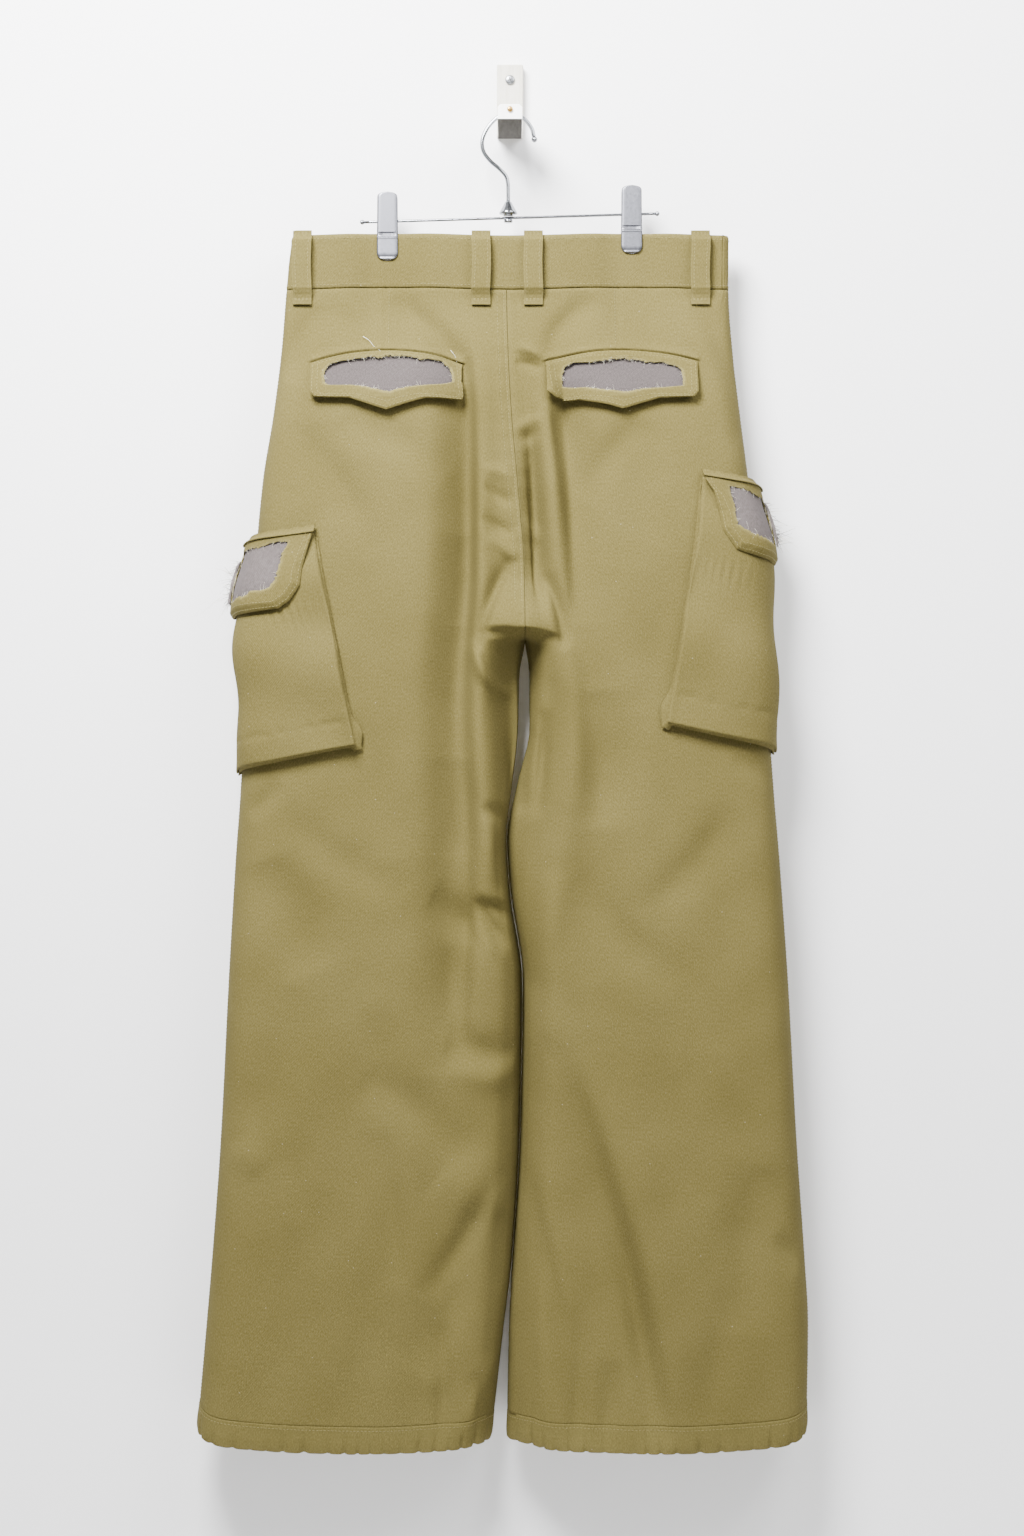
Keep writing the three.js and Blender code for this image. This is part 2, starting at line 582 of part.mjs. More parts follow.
// A back pocket flap with its window, and the lining behind it, whose top and bottom edges curve as the
// flap's do.
const FLAP_CENTRE = [0, -258];
const BACK_LINING = { beside: 5, below: 3, topCurve: 9, bottom: -282, bottomCurve: 8 };
function backFlap(side) {
  const { x, topApex } = BACK_FLAPS[side];
  const put = (lift) => (dx, z) => ({ side, s: onBackAt(side, x + dx, z), z, lift });
  const edge = BACK_WINDOW.half + BACK_LINING.beside;
  const lining = patch(steps(-edge, edge, 12), [0, 0.5, 1], LINING, (dx, v) => {
    const out = (dx / edge) ** 2;
    const top = topApex - BACK_LINING.below - BACK_LINING.topCurve * out;
    return put(LAYER)(dx, mix(top, BACK_LINING.bottom + BACK_LINING.bottomCurve * out, v));
  });
  const [outline, window] = [flapOutline(BACK_FLAPS[side]), flapOutline(BACK_WINDOW)];
  const flap = windowed(outline, window, FLAP_CENTRE, 32, 2, FLAP_CLOTH, put(LINING + 2 * LAYER));
  return { flap, lining };
}

// A bellows pocket's coordinates: p across from its inner edge to its front edge, q from its mouth down.
function pocketAt(side, p, q) {
  const { top, bottom, alongTop, alongBottom, width, fallTop, fallBottom } = CARGO[side];
  const inner = mix(alongTop, alongBottom, q);
  const w = inner - width * p;
  const fall = mix(fallTop, fallBottom, q);
  const z = mix(top, bottom, q) - fall * (inner - Math.abs(w));
  return { w, z };
}
// How far the underside of the pocket's face stands off the leg.
function pocketLift(p, q) {
  const c = Math.max(0, q);
  const bulge = CARGO_BULGE * Math.sin(Math.PI * p) ** 0.7 * Math.sin(Math.PI * c ** 0.8);
  const full = mix(MOUTH_LIFT, CARGO_LIFT, smooth(c / 0.25)) + bulge;
  return mix(full, Math.min(full, FLAT_LIFT), smooth((p - 0.4) / 0.22));
}

function cargoPocket(side) {
  const config = CARGO[side];
  const height = config.top - config.bottom;
  const put = (p, q, lift) => {
    const { w, z } = pocketAt(side, p, q);
    return { side, s: aroundLeg(side, w, z), z, lift };
  };
  const levels = [0, 0.12, 0.25, 0.42, 0.64, 0.86, 1];
  const face = patch(steps(0, 1, 20), levels, POCKET_CLOTH, (p, q) => put(p, q, pocketLift(p, q)));

  // The gusset runs down the inner edge, under the bottom and up the front edge.
  const spreadP = GUSSET_SPREAD / config.width;
  const spreadQ = GUSSET_SPREAD / height;
  const path = [
    ...steps(0.02, 0.97, 7).map((q) => ({ p: 0, q, op: -1, oq: 0 })),
    { p: 0, q: 1, op: -1, oq: 1 },
    ...steps(0.05, 0.95, 18).map((p) => ({ p, q: 1, op: 0, oq: 1 })),
    { p: 1, q: 1, op: 1, oq: 1 },
    ...steps(0.97, 0.02, 7).map((q) => ({ p: 1, q, op: 1, oq: 0 })),
  ];
  const strip = (inset, extra) => GUSSET_PROFILE.map(({ out, rise }) => path.map(({ p, q, op, oq }) => {
    const { w, z } = pocketAt(side, p + op * spreadP * (out - inset), q + oq * spreadQ * (out - inset));
    const head = pocketLift(p, q) - GUSSET_RISE.underFace - GUSSET_CLOTH;
    return standOff(side, aroundLeg(side, w, z), z, mix(GUSSET_RISE.foot, head, rise) + extra);
  }));
  const gusset = shell(strip(0, GUSSET_CLOTH), strip(GUSSET_RISE.lean, 0));
  return { face, gusset };
}

// A cargo flap, which lies over the pocket's mouth from a line above it: w is round the leg from the side
// seam.
function cargoFlap(side) {
  const config = CARGO[side];
  const { flapDrop: drop, width, alongTop: inner } = config;
  const height = config.top - config.bottom;
  const front = inner - width;
  const hole = CARGO_WINDOW[side];
  const put = (extra) => (w, down) => {
    const p = (inner - w) / width;
    const mouth = pocketAt(side, p, 0).z;
    const z = mouth + FLAP_ABOVE - down;
    const onFace = smooth((mouth + FLAP_RAMP - z) / FLAP_RAMP);
    const face = pocketLift(Math.min(0.98, Math.max(0.02, p)), (mouth - z) / height);
    const lift = onFace * (face + POCKET_CLOTH + FLAP_OVER_FACE) + extra;
    return { side, s: aroundLeg(side, w, z), z, lift };
  };
  const columns = [
    ...steps(inner, hole.to, 2), ...steps(hole.to, hole.from, 4).slice(1),
    ...steps(hole.from, front, 9).slice(1),
  ];
  const levels = [
    0, BAND_DOWN, hole.top, mix(hole.top, hole.bottom, 0.35), mix(hole.top, hole.bottom, 0.7), hole.bottom,
  ];
  const foot = levels.length;
  const bottomEdge = (w) => {
    const fromEnd = Math.min(inner - w, w - front);
    return drop - FLAP_CHAMFER * 0.9 * (1 - smooth(fromEnd / FLAP_CHAMFER)) - 2;
  };
  const inHole = (r, c) => r >= 2 && r <= 4 && c >= 2 && c <= 5;
  const onLining = put(FLAP_PAD + LINING + LAYER);
  const [us, vs] = [[...columns.keys()], steps(0, foot, foot)];
  const flap = patch(us, vs, FLAP_CLOTH, (i, j) => {
    const w = columns[i];
    const edge = bottomEdge(w);
    if (j === foot) return onLining(w, edge);
    const ragged = j >= 2 && i >= 2 && i <= 6 ? RAGGED[(i * 3 + j) % RAGGED.length] : 0;
    return onLining(w, Math.min(levels[j] + ragged, edge - 3 * (foot - j)));
  }, { skip: inHole });
  const lining = patch(columns.slice(1, 8), [2, ...levels.slice(1), drop - 4], LINING, put(FLAP_PAD));
  const onFlap = FLAP_PAD + LINING + 2 * LAYER + FLAP_CLOTH + 0.2;
  const band = patch(columns, [0, BAND_DOWN], BAND_STRIP, put(onFlap));
  const tornAcross = steps(hole.from - 4, hole.from - 0.8, 2);
  const tornDown = steps(hole.top + 8, hole.bottom - 3, 6);
  const torn = patch(tornAcross, tornDown, TORN_ROLL, put(onFlap - TORN_INTO_BAND));
  return { flap, lining, band, torn };
}

const BAND_BY_CLIP = [-32, -20, -11.5, 11.5, 20, 32]; // closer stops where the clips press the band
// The waistband runs from the centre front round the back to the centre front again, where it laps over
// itself.
function waistband() {
  const half = (side, onto, round, end) => {
    const clip = Math.abs(CLIP_X[side === 'left' ? 0 : 1]);
    const besideClip = BAND_BY_CLIP.map((d) => clip + d);
    const across = [20, 40, 60, ...besideClip, 160, 175];
    return [
      { side, s: end },
      ...across.map((x) => ({ side, s: onto(side, side === 'left' ? -x : x, WAIST_TOP - 1) })),
      ...round.map((s) => ({ side, s })),
    ];
  };
  const round = [2.7, 2, 1.4, 0.7];
  const near = (side) => half(side, onBackAt, round, BACK_END);
  const far = (side) => half(side, onFrontAt, round.map((s) => -s), -FRONT_END);
  const stops = [
    ...far('left'), { side: 'left', s: 0 }, ...near('left').reverse(),
    ...near('right').slice(1), { side: 'right', s: 0 }, ...far('right').reverse(),
    ...LAP_STOPS.map((s) => ({ side: 'left', s })),
  ];
  const firstLap = stops.length - LAP_STOPS.length;
  const heights = [WAIST_TOP, mix(WAIST_TOP, WAIST_SEAM, 0.5), WAIST_SEAM + 3 * SEAM];
  const grid = (extra) => heights.map((z) => stops.map(({ side, s }, i) => {
    const lap = i >= firstLap ? 1 : smooth((i - firstLap + 4) / 3);
    const way = inward(side, s, z - 1);
    const point = new THREE.Vector3(...legPoint(side, s, z));
    return point.addScaledVector(way, -lap * (BAND_CLOTH + CLEAR) + extra).toArray();
  }));
  return shell(grid(0), grid(BAND_CLOTH));
}

// A tunnel hem, gathered into puckers all round.
function hem(side) {
  const seam = HEM_SEAM - 2 * SEAM;
  const samples = row(side, seam);
  const [start, end] = [samples[0].w, samples[samples.length - 1].w];
  const around = steps(start, end, 2 * HEM_PUCKERS).slice(0, 2 * HEM_PUCKERS);
  const heights = [
    { z: seam, proud: 0.1, wave: 0.3 },
    { z: mix(seam, HEM_EDGE, 0.35), proud: 1.5, wave: 0.8 },
    { z: HEM_EDGE, proud: 0.6, wave: 0.5 },
  ];
  const grid = (inset) => heights.map(({ z, proud, wave }) => around.map((w, i) => {
    const s = aroundLeg(side, w, seam);
    return standOff(side, s, z, proud + wave * (i % 2 ? 1 : -1) - inset);
  }));
  return shell(grid(0), grid(HEM_CLOTH), { ring: true });
}

// A belt loop sewn at both ends and standing off the band between them.
function beltLoop({ x, side: face, fit }) {
  const near = face === 'near';
  const half = LOOP.width / 2;
  const legSide = x < 0 ? 'left' : 'right';
  const out = near ? -1 : 1;
  const stopAt = near ? onBackAt : onFrontAt;
  const grid = (extra) => LOOP_PROFILE.map(({ down, lift }) => [-half, 0, half].map((dx) => {
    const z = WAIST_TOP + LOOP.top - down;
    const read = Math.min(z, WAIST_TOP - 2);
    const bandAt = (where) => legPoint(legSide, stopAt(legSide, where, read), read)[1];
    const ys = [-half, 0, half].map((d) => bandAt(x + d));
    const y = lift > LOOP.standOff / 2 ? out * Math.max(...ys.map((v) => v * out)) : bandAt(x + dx);
    return [x + dx, y + out * (lift + fit + extra), z];
  }));
  return shell(grid(LOOP.cloth), grid(0));
}

// The fly placket, sewn on the left front beside the centre front.
function flyPlacket() {
  const patchAt = (dx, z) => {
    const edge = legPoint('left', -FRONT_END, z)[0];
    return { side: 'left', s: onFrontAt('left', edge - dx, z), z, lift: LAYER };
  };
  const heights = steps(WAIST_SEAM - 1.5, WAIST_SEAM - FLY.length, 6);
  return patch(steps(1.5, FLY.width, 3), heights, FLY.cloth, patchAt);
}

// A rod of a smooth route, with a round section.
function wire(points, radius, sides, count) {
  const section = new THREE.Shape();
  section.absarc(0, 0, radius, 0, 2 * Math.PI);
  const route = new THREE.CatmullRomCurve3(points.map((p) => new THREE.Vector3(...p)), false, 'centripetal');
  const options = { steps: count, extrudePath: route, curveSegments: sides / 2, bevelEnabled: false };
  return new THREE.ExtrudeGeometry(section, options);
}

// One jaw of a clip, cut from sheet: arched at the top, with a slot, and rounded at the bottom.
function clipJaw() {
  const half = CLIP_WIDTH / 2;
  const { corner, shoulder } = CLIP_OUTLINE;
  const shape = new THREE.Shape();
  shape.moveTo(-half, corner - CLIP_HEIGHT);
  shape.quadraticCurveTo(-half, -CLIP_HEIGHT, corner - half, -CLIP_HEIGHT);
  shape.lineTo(half - corner, -CLIP_HEIGHT);
  shape.quadraticCurveTo(half, -CLIP_HEIGHT, half, corner - CLIP_HEIGHT);
  shape.lineTo(half, -shoulder);
  shape.quadraticCurveTo(half * 0.7, 0, 0, 0);
  shape.quadraticCurveTo(-half * 0.7, 0, -half, -shoulder);
  const [top, bottom] = [CLIP_SLOT.tall / 2 - CLIP_SLOT.down, -CLIP_SLOT.tall / 2 - CLIP_SLOT.down];
  const slot = new THREE.Path();
  slot.moveTo(-CLIP_SLOT.half, bottom);
  slot.lineTo(CLIP_SLOT.half, bottom);
  slot.lineTo(CLIP_SLOT.half, top);
  slot.lineTo(-CLIP_SLOT.half, top);
  shape.holes.push(slot);
  const options = { depth: CLIP_SHEET, curveSegments: 4, bevelEnabled: false };
  return new THREE.ExtrudeGeometry(shape, options).rotateX(Math.PI / 2);
}

const group = new THREE.Group();
function add(name, geometry, { color, roughness, metalness = 0 }) {
  const mesh = new THREE.Mesh(geometry, new THREE.MeshStandardMaterial({ color, roughness, metalness }));
  mesh.name = name;
  group.add(mesh);
  return mesh;
}
const KHAKI = { color: 0x9a8d5f, roughness: 0.9 };
const LINING_CLOTH = { color: 0x8f837f, roughness: 0.95 };
const HORN = { color: 0x6b5b3c, roughness: 0.5 };
const CHROME = { color: 0xc8cacc, roughness: 0.15, metalness: 1 };
const BRASS = { color: 0xb08d4a, roughness: 0.35, metalness: 1 };
const PAINTED_WOOD = { color: 0xe6dfcd, roughness: 0.55 };

for (const side of ['left', 'right']) {
  add(`back_${side}`, panel(side, 'back'), KHAKI);
  add(`front_${side}`, panel(side, 'front'), KHAKI);
  add(`hem_${side}`, hem(side), KHAKI);
  const { flap, lining } = backFlap(side);
  add(`back_flap_${side}`, flap, KHAKI);
  add(`back_flap_lining_${side}`, lining, LINING_CLOTH);
  const pocket = cargoPocket(side);
  add(`cargo_face_${side}`, pocket.face, KHAKI);
  add(`cargo_gusset_${side}`, pocket.gusset, KHAKI);
  const cover = cargoFlap(side);
  add(`cargo_flap_${side}`, cover.flap, KHAKI);
  add(`cargo_flap_lining_${side}`, cover.lining, LINING_CLOTH);
  add(`cargo_flap_band_${side}`, cover.band, KHAKI);
  add(`cargo_torn_edge_${side}`, cover.torn, LINING_CLOTH);
}
add('waistband', waistband(), KHAKI);
for (const loop of LOOPS) add(`belt_loop_${loop.name}`, beltLoop(loop), KHAKI);
add('fly_placket', flyPlacket(), KHAKI);

// A button on the outside of the lapped end, facing the wall
const disc = new THREE.CylinderGeometry(BUTTON.radius, BUTTON.radius, BUTTON.thickness, 20);
const lapY = legPoint('left', onFrontAt('left', BUTTON.x, BUTTON.z), BUTTON.z)[1] + BAND_CLOTH + 2 * CLEAR;
add('waist_button', disc, HORN).position.set(BUTTON.x, lapY + BUTTON.thickness / 2, BUTTON.z);

const board = new THREE.BoxGeometry(PLATE.width, PLATE.thickness, PLATE.height);
add('wall_plate', board, PAINTED_WOOD).position.set(0, -PLATE.thickness / 2, 0);
const armShape = new THREE.Shape([
  new THREE.Vector2(-ARM.width / 2, -ARM.height), new THREE.Vector2(ARM.width / 2, -ARM.height),
  new THREE.Vector2(ARM.width / 2, -ARM.chamfer), new THREE.Vector2(ARM.width / 2 - ARM.chamfer, 0),
  new THREE.Vector2(ARM.chamfer - ARM.width / 2, 0), new THREE.Vector2(-ARM.width / 2, -ARM.chamfer),
]);
const armLength = ARM.end - PLATE.thickness - CLEAR;
const bar = new THREE.ExtrudeGeometry(armShape, { depth: armLength, bevelEnabled: false });
const arm = add('wall_arm', bar, PAINTED_WOOD);
arm.rotation.x = Math.PI / 2;
arm.position.set(0, -PLATE.thickness - CLEAR, ARM.top);

function screw(name, radius, y, z, finish) {
  const head = add(name, new THREE.CylinderGeometry(radius, radius, SCREW_HEAD, 20), finish);
  head.position.set(0, y - CLEAR - SCREW_HEAD / 2, z);
}
screw('plate_screw', PLATE.screwRadius, -PLATE.thickness, PLATE.screwZ, CHROME);
screw('arm_screw', ARM.screwRadius, -ARM.end, ARM.screwZ, BRASS);

function ball(name, radius, x, z) {
  add(name, new THREE.SphereGeometry(radius, 10, 7), CHROME).position.set(x, HANGER_Y, z);
}
add('hanger_hook', wire(HOOK.map(([x, z]) => [x, HANGER_Y, z]), HOOK_RADIUS, 8, 36), CHROME);
ball('hanger_hook_tip', HOOK_TIP.radius, HOOK_TIP.x, HOOK_TIP.z);
const ferrule = new THREE.LatheGeometry(FERRULE.map(([r, z]) => new THREE.Vector2(r, z)), 16);
add('hanger_ferrule', ferrule.rotateX(-Math.PI / 2), CHROME).position.set(STEM_X, HANGER_Y, 0);
const rodZ = (x) => mix(ROD.left.z, ROD.right.z, (x - ROD.left.x) / (ROD.right.x - ROD.left.x));
const nut = new THREE.CylinderGeometry(NUT.radius, NUT.radius, NUT.height, 16);
add('hanger_nut', nut.rotateX(Math.PI / 2), CHROME)
  .position.set(STEM_X, HANGER_Y, rodZ(STEM_X) - ROD.radius - CLEAR - NUT.height / 2);
const rodEnds = [ROD.left, ROD.right].map(({ x, z }) => [x, HANGER_Y, z]);
add('hanger_rod', wire(rodEnds, ROD.radius, 10, 1), CHROME);
ball('hanger_rod_tip_left', ROD.tip, ROD.left.x - ROD.tip - 0.2, ROD.left.z);
ball('hanger_rod_tip_right', ROD.tip, ROD.right.x + ROD.tip + 0.2, ROD.right.z);

const SPRING_SECTION = [
  [SPRING.inner, -SPRING.half], [SPRING.outer, -SPRING.half], [SPRING.outer, SPRING.half],
  [SPRING.inner, SPRING.half], [SPRING.inner, -SPRING.half],
].map(([radius, height]) => new THREE.Vector2(radius, height));
CLIP_X.forEach((x, i) => {
  const side = ['left', 'right'][i];
  const grip = WAIST_TOP - 4;
  const s = onBackAt(side, x, grip);
  const near = legPoint(side, s, grip)[1] - CLEAR;
  const far = legPoint(side, onFrontAt(side, x, grip), grip)[1] + CLEAR + CLIP_SHEET;
  add(`clip_${side}_near`, clipJaw(), CHROME).position.set(x, near, CLIP_TOP[i]);
  add(`clip_${side}_far`, clipJaw(), CHROME).position.set(x, far, CLIP_TOP[i]);
  const spring = add(`clip_${side}_spring`, new THREE.LatheGeometry(SPRING_SECTION, 20), CHROME);
  spring.rotation.z = Math.PI / 2;
  spring.position.set(x, HANGER_Y, rodZ(x));
});

export default group;
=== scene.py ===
"""Cargo pants hung by the waist from a clip hanger on a wooden wall hook.

Lengths in the shape functions are millimetres, and meshes are in metres. The wall is the plane y = 0 and the
room is towards -Y, so the back of the pants faces the camera. "Left" and "right" are the wearer's, which is
also how they lie seen from the room.
"""
import math

import bpy
import numpy as np
from bpy.props import FloatProperty, FloatVectorProperty, PointerProperty
from bpy.types import Operator, Panel, PropertyGroup
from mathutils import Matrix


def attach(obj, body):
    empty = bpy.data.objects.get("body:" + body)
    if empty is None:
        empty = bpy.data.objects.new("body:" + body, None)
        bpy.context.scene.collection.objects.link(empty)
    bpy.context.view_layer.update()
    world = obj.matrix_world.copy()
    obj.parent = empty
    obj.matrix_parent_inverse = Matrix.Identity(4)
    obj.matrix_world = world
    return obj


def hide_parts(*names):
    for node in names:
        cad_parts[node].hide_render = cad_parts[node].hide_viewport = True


bl_info = {
    "name": "Cargo pants on a hanger",
    "version": (1, 0, 0),
    "blender": (4, 5, 0),
    "location": "3D View > Sidebar > Cargo pants",
    "description": "Builds hung cargo pants with flaps, bellows pockets and gathered hems, and their hanger",
    "category": "Add Mesh",
}

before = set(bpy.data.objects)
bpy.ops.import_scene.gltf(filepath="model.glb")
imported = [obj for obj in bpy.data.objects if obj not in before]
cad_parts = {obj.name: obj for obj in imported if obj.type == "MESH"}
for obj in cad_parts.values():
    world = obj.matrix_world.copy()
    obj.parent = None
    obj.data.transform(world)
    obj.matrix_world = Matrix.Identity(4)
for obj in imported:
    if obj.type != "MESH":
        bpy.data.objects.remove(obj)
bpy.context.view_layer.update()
MM = 0.001
BODY = "root"
SIDES = ("left", "right")
SIGN = {"left": 1, "right": -1}

# Cloth
CLOTH = 1.8
BAND_CLOTH = 2.7
HEM_CLOTH = 2.6
HEM_LAP = 1.2
FLAP_CLOTH = 1.6
LINING = 0.9
LAYER = 0.75
SEAM = 0.17

# Heights
WAIST_TOP = -126.5
WAIST_SEAM = -175.5
CROTCH_ROW = -520.0
HEM_SEAM = -1176.0
HEM_EDGE = -1198.5
GATHERS_FROM = -1146.0
INSEAM_FROM = -560.0
HEM_DROP = 18.0
HEM_DROP_FROM = -940.0

HANGER_Y = -34.0
CLIP_X = (-110.5, 109.6)
CLIP_AT = 110.0
CLIP_TOP = (-89.0, -83.0)
CLIP_WIDTH = 19.0
CLIP_HEIGHT = 62.0
CLIP_SHEET = 1.6
JAW_GAP = 0.35

# Rows down the body and legs: the outer edge, the main valley of the back, the ridge beside it and the hollow
# beyond, each with how far out from the wall it lies, and the inner edge
LEG_COLUMNS = ("z", "outer", "valley", "valley_y", "ridge", "ridge_y", "hollow", "hollow_y", "inner")
LEG_ROWS = {
    "left": (
        (-126, -196.5, -62, -44, -40, -44, -20, -44, -3),
        (-176, -201.6, -62, -44, -40, -44, -20, -44, -3),
        (-232, -206, -46, -54, -31, -58, -15, -57, -1.8),
        (-290, -213, -41, -54, -28, -66, -13, -65, 1.2),
        (-350, -222.5, -40, -54, -27, -70, -11, -67, 6.4),
        (-430, -229.5, -40, -57, -27, -76, -9, -71, 12.6),
        (-484, -232.5, -44, -60, -30, -81, -12, -84, 13.4),
        (-520, -235, -47, -63, -31.5, -82, -10, -76, 13.4),
        (-560, -238, -49, -65, -31, -82, -10, -70, 8.4),
        (-600, -240.5, -49, -68, -28, -82, -8, -70, 7.4),
        (-640, -243, -47, -70, -24, -80, -9, -68, 2),
        (-680, -246, -48, -72, -20, -78, -10, -62, -3.4),
        (-720, -248.5, -52, -75, -20, -75, -8, -62, -0.6),
        (-800, -253, -56, -78, -16, -74, 0, -62, 10.8),
        (-940, -260, -60, -78, -20, -74, -4, -62, 8.3),
        (-1050, -268, -68, -77, -28, -74, -12, -62, 1),
        (-1105, -272.7, -74, -76, -34, -73, -18, -62, -6),
        (-1199, -281, -84, -75, -46, -72, -28, -62, -17),
    ),
    "right": (
        (-126, 197.5, 50, -44, 30, -44, 12, -44, -3),
        (-176, 197, 50, -44, 30, -44, 12, -44, -3),
        (-232, 200.5, 47, -55, 28, -58, 12, -57, -1.8),
        (-290, 207, 47, -55, 33, -66, 17, -61, 1.2),
        (-350, 214.5, 54, -64, 39, -72, 21, -57, 6.4),
        (-430, 222, 62, -75, 45, -78, 24, -60, 12.6),
        (-484, 226, 66, -79, 49, -82, 31, -81, 13.4),
        (-520, 229, 72, -80, 52, -84, 32, -74, 13.4),
        (-560, 232, 76, -80, 55, -84, 34, -68, 17.4),
        (-600, 235, 78, -79, 55, -84, 32, -66, 17.6),
        (-640, 238, 80, -78, 52, -83, 24, -64, 6.4),
        (-680, 241.5, 80, -78, 46, -82, 18, -62, -2.4),
        (-720, 244.5, 80, -79, 42, -80, 16, -62, 0.4),
        (-800, 250, 80, -80, 42, -79, 24, -64, 11.8),
        (-940, 257.5, 78, -79, 40, -78, 22, -64, 9.3),
        (-1050, 265, 76, -78, 38, -76, 20, -63, 2),
        (-1105, 268, 76, -77, 36, -75, 18, -63, -1),
        (-1199, 266.5, 80, -76, 38, -74, 18, -62, -3),
    ),
}
# How far out from the wall the side seam, the back's crest and the front lie, and how wide the edge is
# rounded
DEPTH_COLUMNS = ("z", "side", "back", "front", "round")
DEPTH_ROWS = (
    (-176, -34, -44, -24, 9),
    (-200, -34.5, -49, -21.5, 18),
    (-232, -35, -57, -19, 34),
    (-290, -37, -67, -17, 48),
    (-350, -38, -73, -16, 54),
    (-430, -39, -79, -16, 56),
    (-520, -40, -82, -16, 56),
    (-800, -40, -84, -14, 56),
    (-1000, -40, -82, -13, 56),
    (-1199, -40, -78, -14, 52),
)
# Where each row of a back panel ends, down the seat seam, under the crotch and down the inseam, and how far
# the row's end has turned from facing the room to facing the other leg
EDGE_COLUMNS = ("z", "y", "height", "turn")
BACK_EDGE_ROWS = (
    (-126, -44, -126, 0),
    (-176, -44, -176, 0),
    (-232, -56, -232, 0),
    (-290, -63, -290, 0),
    (-350, -66, -350, 0),
    (-430, -70, -430, 0),
    (-472, -82, -471, 0),
    (-486, -84, -483, 0.1),
    (-496, -78, -488, 0.25),
    (-507, -64, -491, 0.5),
    (-520, -46, -493, 0.8),
    (-540, -40, -507, 1),
    (-560, -36, -526, 1),
    (-600, -33, -572, 1),
    (-640, -31, -623, 1),
    (-680, -30, -671, 1),
    (-720, -30, -716, 1),
    (-800, -30, -800, 1),
    (-1199, -32, -1199, 1),
)
FRONT_EDGE_ROWS = (
    (-126, -24, -126, 0),
    (-176, -24, -176, 0),
    (-232, -19, -232, 0),
    (-290, -17, -290, 0),
    (-430, -16, -430, 0),
    (-478, -17, -474, 0.1),
    (-496, -24, -486, 0.3),
    (-508, -34, -491, 0.5),
    (-520, -46, -493, 0.8),
)
SLOPE_INTO_VALLEY = 34.0
FRONT_CORNER = 30.0
BACK_END = 10.0
FRONT_END = 7.0

# Folds in the back along lines that bow sideways, each x and z at both ends, the bow, the depth and the width
# to the left and right of it: a positive depth is a trough, a negative one a ridge. The large ones are in the
# CAD too
LARGE_FOLDS = (
    (-106, -184, -40, -262, 8, 5, 12, 11),
    (78, -184, 30, -240, -6, 4, 11, 12),
    (146, -186, 204, -310, 8, -3, 13, 16),
    (-170, -190, -200, -262, -4, 3, 11, 12),
    (78, -540, 84, -660, 4, 4, 20, 24),
    (26, -846, 134, -1196, 6, 8, 48, 20),
    (56, -860, 160, -1196, 6, -4, 18, 34),
    (-70, -720, 2, -762, -6, 5, 14, 16),
    (-56, -846, 6, -862, -10, 5, 16, 18),
    (-62, -968, -6, -1004, 6, -4, 26, 26),
    (-6, -1000, -84, -1130, 8, 5, 24, 22),
    (-216, -690, -176, -790, 6, 4, 24, 30),
    (224, -960, 206, -1100, -6, 4, 24, 24),
)
